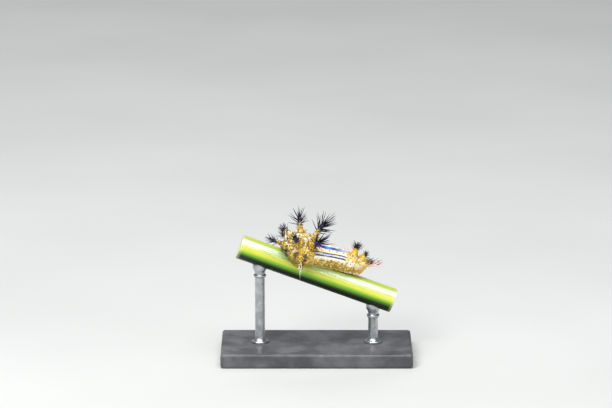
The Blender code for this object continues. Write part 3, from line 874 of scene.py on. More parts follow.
def skin_material(settings):
    paint = Paint(
        "larva_skin",
        Subsurface_Weight=0.06,
        Subsurface_Radius=(1.0, 0.55, 0.25),
        Subsurface_Scale=0.25 * MM,
        Coat_Weight=0.35,
        Coat_Roughness=0.10,
    )
    v = skin_values(paint)
    step, times, mix = paint.step, paint.times, paint.mix
    straw, gold, bark = settings.straw, settings.gold, settings.bark

    # Where the skin is rugged: all but the banded back, and less so towards the sole
    off_back = paint.larger(step(v.along, 8.8, 9.2), step(v.angle, 76.0, 84.0))
    rugged = times(paint.larger(step(v.along, 4.6, 4.3), off_back), step(v.angle, 112.0, 98.0, 0.35, 1.0))
    # Painted shade on the first segment, under the hood of the second, and on the lower side of the front
    first = paint.larger(times(step(v.along, 1.1, 0.9), step(v.angle, 96.0, 104.0)), v.under_hood)
    shade = mix(step(v.along, 5.0, 9.0, 0.0, 0.85), bark, gold)
    trunk = mix(step(v.freckle, 0.51, 0.61), shade, mix(step(v.freckle, 0.52, 0.64), gold, straw))
    whitish = mix(step(v.freckle, 0.44, 0.50), bark, mix(0.5, settings.cream, settings.wart))
    # The outer part of the dark horns is black with violet patches of painted sheen
    black_and_violet_sheen = mix(step(paint.noise(0.30, 1), 0.50, 0.62), settings.black, settings.violet_sheen)
    outer_edge = paint.plus(v.dark, paint.about_zero(v.speckle, 0.8))
    colour = paint.layers(
        skin_bands(paint, v, settings),
        (times(v.yellow, step(v.blotch, 0.35, 0.6, 0.35, 0.95)), gold),
        # Painted shade in the hollows between the grains
        (
            step(v.grain, 0.22, 0.0, 0.0, 0.32),
            mix(step(v.cloud, 0.35, 0.55), settings.amber, settings.hollow_shade),
        ),
        # Random dark freckles, the skin's own colour, in the same brown as the painted shade
        (times(step(v.freckle, 0.42, 0.34, 0.0, 0.8), rugged), settings.hollow_shade),
        # Pale freckles: partly mottling in the skin's own colour, partly painted glints on the wet skin
        (
            times(step(v.freckle, 0.54, 0.62, 0.0, 0.85), rugged),
            mix(step(v.blotch, 0.46, 0.60), straw, settings.cream),
        ),
        # Painted highlight: the tops of the grains are lighter
        (step(v.grain, 0.50, 0.90, 0.0, 0.35), straw),
        (
            times(step(v.along, 10.9, 11.7, 0.0, 0.8), step(v.angle, 84.0, 102.0)),
            mix(step(v.angle, 112.0, 136.0), settings.apricot, settings.orange),
        ),
        (times(step(v.along, 1.8, 1.1), step(v.freckle, 0.57, 0.47, 0.0, 0.85)), bark),
        (times(v.wart, 0.95), settings.wart),
        # Painted shade in the creases and round the horn feet
        (times(v.hollow_shade, step(v.blotch, 0.38, 0.54, 0.5, 0.95)), settings.hollow_shade),
        # Painted shade and a painted green reflection of the stem on the lower front flank
        (times(step(v.along, 3.1, 1.9, 0.0, 0.88), step(v.angle, 92.0, 111.0)), settings.olive_and_shade),
        # Painted shade under the hood
        (times(first, step(v.blotch, 0.45, 0.62, 0.97, 0.6)), settings.under_hood),
        # Random dark specks, the skin's own colour, in the same brown as the painted shade
        (times(step(v.speckle, 0.60, 0.72), 0.35), settings.hollow_shade),
        (step(v.share, 0.04, 0.3, 0.0, 0.85), trunk),
        (v.knob, settings.knob),
        (times(v.pale, 0.9), whitish),
        (v.pink, settings.pink),
        (step(outer_edge, 0.35, 0.65), black_and_violet_sheen),
    )
    fine = paint.minus(1.0, paint.cells(0.075))
    normal = paint.bump(fine, 0.012, 0.55, paint.bump(v.speckle, 0.02, 0.5))
    return paint.finish(colour, step(v.speckle, 0.3, 0.7, 0.30, 0.52), normal)


def spine_direction(axis, lean, turn):
    """The horn's axis tipped over by lean, towards a direction turned about it."""
    first, second = across(axis)
    outwards = first * math.cos(turn) + second * math.sin(turn)
    return axis * math.cos(lean) + outwards * math.sin(lean), outwards


def room_for(root, tip):
    """Whether the outer half of a spine stays out of the body and the stem."""
    points = root + (tip - root) * np.array([0.45, 0.65, 0.85, 1.0])[:, None]
    offset = points - MIDDLE
    radial = offset - ALONG * (offset @ ALONG)[:, None]
    if (np.linalg.norm(radial, axis=1) < STEM_RADIUS + 0.06).any():
        return False
    station, side, height = world_to_body(points)
    inside = np.clip(station, 0, BODY_END)
    middle = outline(inside)[2]
    edge_side, edge_height = ring_points(inside, np.arctan2(side, height - middle))
    deep = np.hypot(side, height - middle) < np.hypot(edge_side, edge_height - middle) + 0.05
    return not (deep & (station > -0.1) & (station < BODY_END + 0.1)).any()


def map_place(index, count, turn, share):
    """A spine's place on the map: its horn and the turn about it across, and the share of its length up."""
    return (index + (turn / (2 * math.pi)) % 1) / count, share


def random_bend(reach):
    return np.array([random.uniform(-reach, reach) for _ in range(3)])


def fitted(root, direction, length):
    """The length that leaves the spine clear of the body and the stem, or nothing."""
    for share in (1.0, 0.85, 0.7, 0.55):
        if room_for(root, root + direction * length * share):
            return length * share
    return None


def bristle_place(kind, share):
    """A long spine's place up its horn and its lean from the horn's axis."""
    lean = LOW_LEAN + (TIP_LEAN - LOW_LEAN) * share**LEAN_POWER
    if share > 0.97:
        lean = TIP_LEAN * random.random()
    if kind is TRAILING:
        share = 0.45 * share if share < 0.85 else random.uniform(0.5, 0.9)
        lean *= 0.62
    return share, lean + random.uniform(-LEAN_SPREAD, LEAN_SPREAD)


def bristle_tone(kind, share):
    """How dark and how clear a long spine is. Those at a dark horn's lower edge differ."""
    dark = 1.0 if share > kind[3] - 0.14 else random.choice((0.0, 0.8, 0.9, 1.0))
    if kind is TRAILING:
        return TRAILING_DARK, 1.0
    if kind is SIDE:
        return (0.95, 0.0) if share < SIDE_CLEAR_FROM else (0.1, 1.0)
    return dark, 0.0


def bristle_rows(places, settings):
    """Long spines in a close spiral round the outer part of every large horn."""
    rows = []
    for index, (root, axis, kind, hand) in enumerate(places):
        if kind not in BRISTLES:
            continue
        count, spine_length, radius, first_share, sweep = BRISTLES[kind]
        if kind is LARGE and hand == -1:
            spine_length *= NEAR_STAR_SHARE
        count = round(count * settings.density)
        length, root_radius, tip_radius, _ = kind
        lowest_reach = 0.8 if kind in (TRAILING, SIDE) else 0.42
        turn = random.uniform(0, 2 * math.pi)
        for k in range(count):
            share, lean = bristle_place(kind, first_share + (1 - first_share) * (k / (count - 1)) ** 0.85)
            turn += GOLDEN_ANGLE + random.uniform(-0.15, 0.15)
            direction, outwards = spine_direction(axis, lean, turn)
            low_on_near = hand == -1 and outwards[2] < NEAR_STAR_LOWEST.get(kind, -2.0)
            if low_on_near and k % 2:
                continue
            direction = direction + ALONG * sweep[0] + UP * sweep[1]
            direction /= np.linalg.norm(direction)
            local = root_radius + (tip_radius - root_radius) * share
            foot = root + axis * (length * share - 0.12 * (share > 0.9))
            foot = foot + outwards * local * 0.62 * min(1, math.sin(abs(lean)) + 0.2)
            reach = spine_length * min(1.0, lowest_reach + 0.8 * share)
            reach *= random.choice((1.0, 1.0, 0.92, 0.8, 0.62)) * random.uniform(0.94, 1.06)
            reach = fitted(foot, direction, reach * (LOW_SPINE_SHARE if low_on_near else 1))
            if reach is None:
                continue
            bend = random_bend(0.06)
            tone = bristle_tone(kind, share)
            if kind is SIDE and share >= SIDE_CLEAR_FROM:
                reach *= 0.6
            if kind is TRAILING and outwards[2] < 0.1:
                continue
            where = map_place(index, len(places), turn, 0.04 + 0.9 * share)
            rows.append((foot, direction, reach, radius * settings.thickness, bend, where, tone))
    return rows


# Short spines: count, first and last share of the horn's length, radius, and the range of lengths
STAR_SPINES = (34, 0.02, 0.38, 0.042, (0.16, 0.32))
FOOT_SPINES = (20, 0.02, 0.38, 0.042, (0.16, 0.32))
TRAILING_SPINES = (20, 0.02, 0.32, 0.042, (0.16, 0.32))
KNOB_SPINES = (4, 0.35, 1.0, 0.028, (0.08, 0.14))


# Thick golden rays round the foot of the largest horns, and smaller ones round the side horns
STAR_RAYS = 14
RAY_RADIUS = 0.090
RAY_LENGTHS = (0.46, 0.62)
RAY_HEIGHT = 0.24
SIDE_RAY_LENGTH_SHARE = 0.6
SIDE_RAY_RADIUS_SHARE = 0.76


def short_rows(places):
    """Short pale spines round the foot of every horn and on every knob."""
    rows = []
    for index, (root, axis, kind, _) in enumerate(places):
        length, root_radius, tip_radius, _ = kind
        star = kind in (LARGE, LARGEST, SIDE)
        sort = KNOB_SPINES if is_knob(kind) else STAR_SPINES if star else FOOT_SPINES
        sort = TRAILING_SPINES if kind is TRAILING else sort
        count, first, last, usual_radius, usual_lengths = sort
        turn = random.uniform(0, 2 * math.pi)
        for k in range(count):
            share = first + (last - first) * k / (count - 1)
            lean = math.radians(random.uniform(50, 80) * (1 - 0.75 * share if is_knob(kind) else 1))
            turn += GOLDEN_ANGLE
            if star and k < STAR_RAYS:
                out = outwards_at(root)
                direction, outwards = spine_direction(out, math.radians(random.uniform(60, 78)), turn)
                foot = root + out * RAY_HEIGHT + outwards * root_radius * 0.9
                radius, reach = RAY_RADIUS, random.uniform(*RAY_LENGTHS)
                if kind is SIDE:
                    radius, reach = radius * SIDE_RAY_RADIUS_SHARE, reach * SIDE_RAY_LENGTH_SHARE
            else:
                direction, outwards = spine_direction(axis, lean, turn)
                local = root_radius + (tip_radius - root_radius) * share
                foot = root + axis * length * share + outwards * local * 0.8
                radius, reach = usual_radius, random.uniform(*usual_lengths)
            reach = fitted(foot, direction, reach)
            if reach is None:
                continue
            where = map_place(index, len(places), turn, 0.04 + 0.9 * share)
            rows.append((foot, direction, reach, radius, random_bend(0.05), where, (0.0, 0.0)))
    return rows


# Clear hairs at a side horn's tip: lean from its axis in degrees, and length
CLEAR_HAIRS = ((4, 1.35), (16, 0.8), (22, 0.6))


def hair_rows(places):
    """Thin clear hairs at the tips of the side horns."""
    rows = []
    for index, (root, axis, kind, _) in enumerate(places):
        for lean, reach in CLEAR_HAIRS if kind is SIDE else ():
            turn = random.uniform(0, 2 * math.pi)
            direction, _ = spine_direction(axis, math.radians(lean), turn)
            foot = root + axis * kind[0] * 0.95
            reach = fitted(foot, direction, reach)
            if reach is not None:
                where = map_place(index, len(places), turn, 0.96)
                rows.append((foot, direction, reach, 0.030, np.zeros(3), where, (0.0, 1.0)))
    return rows


# A spine's patch on the map, and its profile as shares of its length and of its radius
PATCH = 0.003
SPINE_LEVELS = (0, 0.05, 0.14, 0.5, 0.85, 1.0)
SPINE_WIDTHS = (1.1, 1.2, 0.85, 0.62, 0.34, 0.08)


def spines_mesh(name, rows, sides, rings):
    """One mesh of slightly bent, pointed spines, each with its own patch on the map at its root's place."""
    levels = np.linspace(0, 1, rings + 1) ** 0.8
    wide = np.interp(levels, SPINE_LEVELS, SPINE_WIDTHS)
    turns = np.arange(sides) * 2 * math.pi / sides
    points, shares, faces, corners = [], [], [], []
    # The faces of one spine, as corners of (turn, level) that run on past the last turn
    grid = [((k, j), (k + 1, j), (k + 1, j + 1), (k, j + 1)) for j in range(rings) for k in range(sides)]
    grid.append(tuple((k, 0) for k in range(sides - 1, -1, -1)))
    grid.append(tuple((k, rings) for k in range(sides)))
    for number, (root, direction, length, radius, bend, (u, v), tone) in enumerate(rows):
        first, second = across(direction)
        ring = np.cos(turns)[:, None] * first + np.sin(turns)[:, None] * second
        for level, width in zip(levels, wide):
            middle = root + direction * length * level + bend * length * level * level
            points.append(middle + ring * radius * width)
            shares += [(level, *tone)] * sides
        base = number * (rings + 1) * sides
        for face in grid:
            faces.append(tuple(base + j * sides + k % sides for k, j in face))
            corners += [(u + PATCH * (k / sides - 0.5), v + PATCH * (j / rings - 0.5)) for k, j in face]
    mesh = bpy.data.meshes.new(name)
    mesh.from_pydata(np.concatenate(points) * MM, [], faces)
    mesh.update()
    store(mesh, "spine", shares)
    mesh.uv_layers.new(name="OFBake").data.foreach_set("uv", np.array(corners, np.float32).ravel())
    obj = bpy.data.objects.new(name, mesh)
    bpy.context.scene.collection.objects.link(obj)
    shade_smooth(obj, 60)
    return obj


def spine_material(name, settings):
    paint = Paint(name, Coat_Weight=0.1, Coat_Roughness=0.15, Specular_IOR_Level=0.2)
    share, dark, tone = paint.split(paint.stored("spine"))
    cloud = paint.noise(0.35)
    clear = paint.mix(paint.step(cloud, 0.35, 0.65), settings.spine_pink, settings.spine_clear)
    root = paint.mix(paint.step(cloud, 0.46, 0.7), settings.spine_gold, settings.spine_cream)
    root = paint.mix(tone, root, clear)
    # Dark spines: black with patches of painted violet sheen
    black_and_sheen = paint.mix(paint.step(cloud, 0.48, 0.66), settings.spine_black, settings.spine_violet_sheen)
    reach = paint.plus(paint.times(dark, 1.6), paint.times(share, 0.5))
    colour = paint.layers(
        root,
        (paint.step(share, 0.55, 0.95), settings.spine_brown),
        (paint.times(tone, 0.8), root),
        (paint.step(reach, 0.55, 0.95), black_and_sheen),
    )
    rough = paint.step(cloud, 0.3, 0.7, 0.26, 0.42)
    return paint.finish(colour, rough, paint.bump(paint.noise(0.05, 1), 0.006, 0.4))


def make_spines(settings):
    """The long spines, the short ones and the clear hairs, as three pieces."""
    random.seed(SEED)
    places = horn_places()
    for name, rows, sides, rings in (
        ("horn_bristles", bristle_rows(places, settings), 6, 6),
        ("short_spines", short_rows(places), 5, 3),
        ("clear_hairs", hair_rows(places), 6, 6),
    ):
        finish_piece(spines_mesh(name, rows, sides, rings), spine_material(name, settings))


# The face looks forwards and down; the head's own axes are forwards, to its right side, and up the face
FACE_PITCH = math.radians(42)


def face_axes():
    side_axis, rise_axis = (axis[0] for axis in body_axes(np.array([HEAD_CENTRE[0]])))
    forwards = -ALONG * math.cos(FACE_PITCH) - rise_axis * math.sin(FACE_PITCH)
    return forwards, side_axis, np.cross(forwards, side_axis) * -1


def head_middle():
    station, side, height = HEAD_CENTRE
    return body_to_world(np.array([station]), np.array([side]), np.array([height]))[0]


def head_reach(directions):
    """How far the head's surface lies from its middle in these directions."""
    side_axis, rise_axis = (axis[0] for axis in body_axes(np.array([HEAD_CENTRE[0]])))
    local = np.stack([directions @ ALONG, directions @ side_axis, directions @ rise_axis], -1)
    return 1 / np.sqrt(((local / HEAD_RADII) ** 2).sum(-1))


def face_point(right, up, lift=0.0):
    """A point on the head's front, from shares of its half width and half height, lifted off the surface."""
    forwards, side_axis, face_up = face_axes()
    ahead = math.sqrt(max(1 - right**2 - up**2, 0.02))
    direction = forwards * ahead + side_axis * right + face_up * up
    return head_middle() + direction * (head_reach(direction) + lift), direction


def head_capsule():
    """A rounded capsule with the forked suture down its face and two full cheeks."""
    forwards, side_axis, face_up = face_axes()
    suture_width, suture_depth, cheek_depth = 0.035, 0.035, 0.035

    def shape(share, turn):
        lift = np.sin(share * math.pi)
        direction = (
            side_axis * np.cos(share * math.pi)[:, None]
            + forwards * (lift * np.cos(turn))[:, None]
            + face_up * (lift * np.sin(turn))[:, None]
        )
        right, up, ahead = direction @ side_axis, direction @ face_up, direction @ forwards
        fork = np.abs(right) - np.clip(0.30 - 0.55 * up, 0, 0.5)
        groove = np.exp(-((fork / suture_width) ** 2)) * (up < 0.55) * (ahead > 0.1)
        crown = np.exp(-((right / suture_width) ** 2)) * (up > 0.30)
        cheek = cheek_depth * np.sin(np.clip(np.abs(right) / 0.8, 0, 1) * math.pi)
        reach = head_reach(direction) + cheek * (ahead > 0) - suture_depth * np.maximum(groove, crown)
        return head_middle() + direction * reach[:, None]

    return stretched_ball("head_capsule", 96, 72, shape)


def pointed(name, root, axis, length, wide, narrow, segments=12, rings=10):
    """A short tapered form with a rounded end."""
    end = min(narrow, length / 2)
    return club(name, root, axis, length, lambda t: wide + (narrow - wide) * t, segments, rings, 0.05, end)


def towards(*parts):
    """The unit direction of a sum of (share, direction) pairs."""
    total = sum(share * direction for share, direction in parts)
    return total / np.linalg.norm(total)


# Joints of a palp and of a feeler, thickest first: radius and how far each reaches
PALP_JOINTS = ((0.055, 0.10), (0.042, 0.17), (0.028, 0.24))
FEELER_JOINTS = ((0.055, 0.06), (0.040, 0.14), (0.022, 0.22))
EYES_EACH_SIDE = 6


def make_eyes():
    """The small eyes in a curved row low on each cheek."""
    eyes = []
    for hand in (-1, 1):
        for k in range(EYES_EACH_SIDE):
            turn = math.radians(-62 + 30 * k)
            right, up = 0.70 + 0.085 * math.cos(turn), -0.22 + 0.17 * math.sin(turn)
            root, axis = face_point(hand * right, up, 0.012)
            eyes.append(club("eye", root, axis, 0.035, even(0.038), 14, 10, 0.03, 0.05))
    return joined("larva_eyes", eyes)


def make_mouthparts():
    """The upper lip, the jaws, the palps, the feelers and the spinneret."""
    _, side_axis, face_up = face_axes()
    root, axis = face_point(0.0, -0.66)
    lip = axis * 0.6 - face_up * 0.8
    mouth = [club("labrum", root, lip, 0.16, lambda t: 0.15 - 0.03 * t, 20, 12, 0.06, 0.10)]
    for hand in (-1, 1):
        out = side_axis * hand
        root, axis = face_point(hand * 0.20, -0.74)
        jaw = towards((0.5, axis), (-0.75, face_up), (-0.45, out))
        mouth.append(pointed("mandible", root, jaw, 0.19, 0.085, 0.03))
        root, axis = face_point(hand * 0.30, -0.84, -0.02)
        palp = towards((0.6, axis), (-0.7, face_up), (0.12, out))
        mouth += [pointed("palp", root, palp, reach, wide, wide * 0.7) for wide, reach in PALP_JOINTS]
        root, axis = face_point(hand * 0.50, -0.62)
        feeler = towards((0.8, axis), (-0.5, face_up), (0.25, out))
        mouth += [pointed("feeler", root, feeler, reach, wide, wide * 0.75) for wide, reach in FEELER_JOINTS]
    root, axis = face_point(0.0, -0.93, -0.03)
    mouth.append(pointed("spinneret", root, axis * 0.7 - face_up * 0.7, 0.18, 0.05, 0.02))
    parts = joined("larva_mouthparts", mouth)
    shade_smooth(parts, 70)
    return parts


def make_head(settings):
    """The head capsule with its eyes, feelers and mouthparts."""
    forwards, side_axis, face_up = face_axes()
    capsule = head_capsule()
    local = coordinates(capsule.data) - head_middle()
    store(capsule.data, "face", np.stack([np.abs(local @ side_axis), local @ face_up, local @ forwards], 1))
    shade_smooth(capsule)
    finish_piece(capsule, head_material(settings), ["head"])
    finish_piece(make_eyes(), eye_material(settings))
    finish_piece(make_mouthparts(), mouth_material(settings))


def head_material(settings):
    paint = Paint("head_capsule", Coat_Weight=0.5, Coat_Roughness=0.12)
    right, up, _ = paint.split(paint.stored("face"))
    cloud = paint.noise(0.16, 3)
    middle = paint.times(paint.step(right, 0.10, 0.02), paint.step(up, -0.05, -0.2))
    colour = paint.layers(
        settings.head_dark,
        (paint.step(cloud, 0.38, 0.62), settings.head_brown),
        (paint.step(up, 0.10, 0.34, 0.0, 0.55), settings.head_pale),
        (middle, settings.head_pale),
    )
    normal = paint.bump(paint.cells(0.05), 0.008, 0.5)
    return paint.finish(colour, paint.step(cloud, 0.3, 0.7, 0.22, 0.38), normal)


def eye_material(settings):
    paint = Paint("larva_eyes", Coat_Weight=1.0, Coat_Roughness=0.04)
    cloud = paint.noise(0.05)
    colour = paint.mix(paint.step(cloud, 0.4, 0.7), settings.eye_black, settings.head_dark)
    return paint.finish(colour, paint.step(cloud, 0.3, 0.7, 0.08, 0.16))


def mouth_material(settings):
    paint = Paint("larva_mouthparts", Coat_Weight=0.4, Coat_Roughness=0.15)
    cloud = paint.noise(0.09)
    colour = paint.mix(paint.step(cloud, 0.4, 0.65), settings.head_brown, settings.leg_amber)
    normal = paint.bump(paint.noise(0.03, 1), 0.005, 0.5)
    return paint.finish(colour, paint.step(cloud, 0.3, 0.7, 0.25, 0.4), normal)


# The joints of a short leg: how far forwards of its root, side, height and the radius there
LEG_PATH = (
    (0.0, 0.64, 2.56, 0.25),
    (0.06, 0.86, 2.34, 0.20),
    (0.14, 1.06, 2.08, 0.155),
    (0.12, 1.12, 1.82, 0.11),
    (0.06, 1.05, 1.62, 0.07),
)


def leg_form(name, station, hand):
    """One short jointed leg with a claw that reaches the stem."""
    ahead, side, height, radii = np.array(LEG_PATH).T
    points = body_to_world(station - ahead, hand * side, height)
    parts = []
    for k in range(len(points) - 1):
        axis = points[k + 1] - points[k]
        length = np.linalg.norm(axis)
        reach = length + radii[k + 1] * 0.35
        parts.append(pointed("leg_part", points[k], axis / length, reach, radii[k], radii[k + 1], 18, 14))
    end = points[-1]
    inwards = MIDDLE + ALONG * ((end - MIDDLE) @ ALONG) - end
    distance = np.linalg.norm(inwards)
    claw = max(distance - STEM_RADIUS + 0.02, 0.06)
    parts.append(pointed("claw", end, inwards / distance, claw, 0.045, 0.012))
    leg = joined(name, parts)
    shade_smooth(leg, 60)
    return leg


def make_legs(settings):
    """Six short jointed legs, which hold on to the stem."""
    material = leg_material(settings)
    for hand, label in ((-1, "left"), (1, "right")):
        for number, station in enumerate(LEG_STATIONS, 1):
            leg = leg_form(f"larva_leg_{label}_{number}", station, hand)
            finish_piece(leg, material, [f"leg_{label}_{number}"])


def leg_material(settings):
    paint = Paint("larva_legs", Coat_Weight=0.35, Coat_Roughness=0.18)
    speckle = paint.noise(0.06)
    colour = paint.layers(
        settings.leg_amber,
        (paint.step(paint.noise(0.2, 3), 0.4, 0.62), settings.head_brown),
        (paint.step(speckle, 0.58, 0.7, 0.0, 0.5), settings.head_dark),
    )
    return paint.finish(colour, paint.step(speckle, 0.3, 0.7, 0.28, 0.45), paint.bump(speckle, 0.01, 0.6))


def stem_angles(points):
    """Distance along the stem, turn about it from its top, and distance from its middle."""
    offset = points - MIDDLE
    side, rise = offset @ RIGHT, offset @ UP
    return offset @ ALONG + BODY_MIDDLE, np.arctan2(side, rise), np.hypot(side, rise)


# The stem's mesh, and the steps of a cut end from the rind inwards: inset, and push outwards
STEM_SEGMENTS = 288
STEM_PARTS = 30
END_STEPS = ((0.10, 0.03), (0.24, -0.04), (0.72, -0.03), (0.05, -1.6))


def stem_tube(name, length):
    """An upright stem with stepped ends and a hollow core, cut into even lengths."""
    bpy.ops.object.select_all(action="DESELECT")
    bpy.ops.mesh.primitive_cylinder_add(
        vertices=STEM_SEGMENTS, radius=STEM_RADIUS * MM, depth=length * MM, end_fill_type="NGON"
    )
    stem = bpy.context.object
    stem.name = stem.data.name = name
    bpy.ops.object.mode_set(mode="EDIT")
    bpy.ops.mesh.select_mode(type="FACE")
    for end in (1, -1):
        for inset, push in END_STEPS:
            select_end(stem, end)
            bpy.ops.mesh.inset(thickness=inset * MM, depth=0)
            bpy.ops.mesh.extrude_region_move(TRANSFORM_OT_translate={"value": (0, 0, push * end * MM)})
    for k in range(1, STEM_PARTS):
        bpy.ops.mesh.select_all(action="SELECT")
        bpy.ops.mesh.bisect(plane_co=(0, 0, (k / STEM_PARTS - 0.5) * length * MM), plane_no=(0, 0, 1))
    bpy.ops.object.mode_set(mode="OBJECT")
    return stem


def make_stem(settings):
    """A ribbed grass stem, cut square at both ends, with its rind, pith and hollow core."""
    stem = stem_tube("grass_stem", STEM_TAIL_END - STEM_HEAD_END)
    points = coordinates(stem.data)
    along, turn = points[:, 2], np.arctan2(points[:, 1], points[:, 0])
    rib = 0.5 + 0.5 * np.cos(settings.ribs * turn + 0.25 * np.sin(along * 0.5))
    rind = smooth(np.hypot(points[:, 0], points[:, 1]), STEM_RADIUS - 0.2, STEM_RADIUS - 0.02)
    wave = 0.012 * np.sin(along * 0.9 + 2 * turn) * rind
    scale = 1 - (settings.rib_depth / MM * (1 - rib) * rind + np.abs(wave)) / STEM_RADIUS
    along = along + (STEM_TAIL_END + STEM_HEAD_END) / 2 - BODY_MIDDLE
    across_stem = UP * (points[:, 0] * scale)[:, None] + RIGHT * (points[:, 1] * scale)[:, None]
    points = MIDDLE + ALONG * along[:, None] + across_stem
    set_coordinates(stem.data, points)
    face_outwards(stem)
    station, turn, radius = stem_angles(points)
    to_end = np.minimum(station - STEM_HEAD_END, STEM_TAIL_END - station)
    store(stem.data, "stem", np.stack([to_end, np.degrees(np.abs(turn)), radius], 1))
    store(stem.data, "fibre", np.stack([station * 0.03, radius * np.sin(turn), radius * np.cos(turn)], 1))
    shade_smooth(stem, 40)
    finish_piece(stem, stem_material(settings), ["perch"])


def select_end(obj, end):
    """Selects the innermost of the stem's end faces at one end."""
    mesh = bmesh.from_edit_mesh(obj.data)
    for face in mesh.faces:
        face.select = False
    caps = [
        face for face in mesh.faces
        if len(face.verts) == STEM_SEGMENTS and face.calc_center_median().z * end > 0
    ]
    chosen = min(caps, key=lambda face: face.calc_area())
    chosen.select = True
    mesh.faces.active = chosen
    bmesh.update_edit_mesh(obj.data)


# Colours round the stem, by degrees from its top. The yellow-green top and the green sides are partly the
# culm's own colour and partly painted light. The pale bloom band is partly a waxy bloom and partly a painted
# highlight, and the darkening through moss to shade towards the underside is painted shade
STEM_BANDS = (
    (0, "straw"), (14, "straw"), (24, "lime"), (36, "bloom_and_highlight"), (54, "bloom_and_highlight"), (62, "lime"), (70, "straw"),
    (82, "straw"), (90, "lime"), (100, "leaf"), (109, "moss"), (122, "shade"), (180, "shade"),
)


def stem_material(settings):
    paint = Paint("grass_stem", Coat_Roughness=0.16, Coat_IOR=2.4, Specular_IOR_Level=0.25)
    step, times = paint.step, paint.times
    to_end, turn, radius = paint.split(paint.stored("stem"))
    fibre = paint.stored("fibre")
    broad, thread = paint.noise(0.75, vector=fibre), paint.noise(0.16, vector=fibre)
    fine = paint.noise(0.05, 1, fibre)
    lit = step(turn, 105.0, 75.0)
    pores = paint.plus(paint.cells(0.15), times(paint.noise(0.3), 0.35))
    pith = paint.mix(step(pores, 0.38, 0.56), settings.moss, settings.pith)
    # Painted shade: the pith turns near black towards the middle of each cut end, inside the hollow core
    pith = paint.mix(step(radius, 0.55, 0.35), pith, settings.shade)
    colour = paint.layers(
        paint.ramp(paint.plus(turn, paint.about_zero(broad, 22.0)), settings, STEM_BANDS, HALF_TURN),
        (times(lit, step(thread, 0.54, 0.66, 0.0, 0.4)), settings.straw),
        (times(lit, step(thread, 0.44, 0.34, 0.0, 0.3)), settings.leaf),
        (times(lit, step(fine, 0.6, 0.75, 0.0, 0.2)), settings.bloom_and_highlight),
        (step(radius, STEM_RADIUS - 0.20, STEM_RADIUS - 0.30), pith),
        (step(to_end, 0.5, 0.0, 0.0, 0.45), settings.pith),
    )
    paint.put(paint.shader.inputs["Coat Weight"], step(turn, 92.0, 64.0, 0.05, 1.0))
    normal = paint.bump(thread, 0.012, 0.45, paint.bump(fine, 0.005, 0.4))
    return paint.finish(colour, step(thread, 0.3, 0.7, 0.24, 0.40), normal)


# A rod's outline as (height, radius): a foot on the base and the shaft, then from the stem's underside
# a collar and the saddle
ROD_OUTLINE = ((0.0, 1.30), (0.22, 1.30), (0.30, 1.22), (0.34, 0.92), (0.60, 0.74), (0.70, ROD_RADIUS))
SADDLE_OUTLINE = (
    (-1.55, ROD_RADIUS), (-1.50, 0.84), (-1.42, 0.90), (-1.22, 0.90), (-1.14, 0.84), (-1.08, ROD_RADIUS),
    (-0.62, 0.80), (-0.25, 1.02), (0.9, 1.02),
)


def make_rods(settings):
    """Two turned rods with a foot on the base and a saddle that fits the stem."""
    material = rod_material(settings)
    spare = 2
    stem_start = MIDDLE + ALONG * (STEM_HEAD_END - BODY_MIDDLE - spare)
    stem_length = STEM_TAIL_END - STEM_HEAD_END + 2 * spare
    for name, along in (("front", -ROD_REACH), ("back", ROD_REACH)):
        top = STEM_HEIGHT - along * math.tan(STEM_SLOPE) - STEM_RADIUS / math.cos(STEM_SLOPE) - BASE_TOP
        profile = [*ROD_OUTLINE, *((top + height, radius) for height, radius in SADDLE_OUTLINE)]
        rod = turned(f"display_rod_{name}", profile, (along, 0.0, BASE_TOP))
        cut(rod, club("stem_room", stem_start, ALONG, stem_length, even(STEM_RADIUS), 144, 24, 0, 0.2))
        keep_lowest(rod)
        apply_modifier(
            rod, "BEVEL", width=0.03 * MM, segments=2, limit_method="ANGLE", angle_limit=math.radians(50)
        )
        shade_smooth(rod, 35)
        finish_piece(rod, material, [f"stand_rod_{name}"])


def turned(name, profile, place):
    """A closed form turned about an upright axis from (height, radius) points."""
    mesh = bpy.data.meshes.new(name)
    outline = [(radius, 0, height) for height, radius in profile]
    rows = [(0, 0, profile[0][0]), *outline, (0, 0, profile[-1][0])]
    points = [(Vector(row) + Vector(place)) * MM for row in rows]
    mesh.from_pydata(points, [(k, k + 1) for k in range(len(points) - 1)], [])
    obj = bpy.data.objects.new(name, mesh)
    bpy.context.scene.collection.objects.link(obj)
    select_only(obj)
    bpy.ops.object.mode_set(mode="EDIT")
    bpy.ops.mesh.select_all(action="SELECT")
    bpy.ops.mesh.spin(steps=64, angle=2 * math.pi, center=Vector(place) * MM, axis=(0, 0, 1))
    bpy.ops.mesh.select_all(action="SELECT")
    bpy.ops.mesh.remove_doubles(threshold=0.002 * MM)
    bpy.ops.mesh.normals_make_consistent(inside=False)
    bpy.ops.object.mode_set(mode="OBJECT")
    return obj


def keep_lowest(obj):
    """Leaves only the piece of a mesh that reaches lowest."""
    bm = bmesh.new()
    bm.from_mesh(obj.data)
    bm.verts.ensure_lookup_table()
    lowest = min(bm.verts, key=lambda vert: vert.co.z)
    kept, queue = {lowest}, [lowest]
    while queue:
        for edge in queue.pop().link_edges:
            for vert in edge.verts:
                if vert not in kept:
                    kept.add(vert)
                    queue.append(vert)
    bmesh.ops.delete(bm, geom=[vert for vert in bm.verts if vert not in kept], context="VERTS")
    bm.to_mesh(obj.data)
    bm.free()


def rod_material(settings):
    paint = Paint("display_rod", Metallic=1.0)
    stretched = paint.node("ShaderNodeMapping")
    stretched.inputs["Scale"].default_value = (1.0, 1.0, 14.0)
    paint.put(stretched.inputs["Vector"], paint.where)
    rings = paint.noise(0.8 * MM, vector=stretched.outputs[0])
    colour = paint.mix(paint.step(paint.noise(1.2, 3), 0.35, 0.7), settings.steel, settings.steel_dark)
    return paint.finish(colour, paint.step(rings, 0.3, 0.7, 0.24, 0.42), paint.bump(rings, 0.006, 0.5))


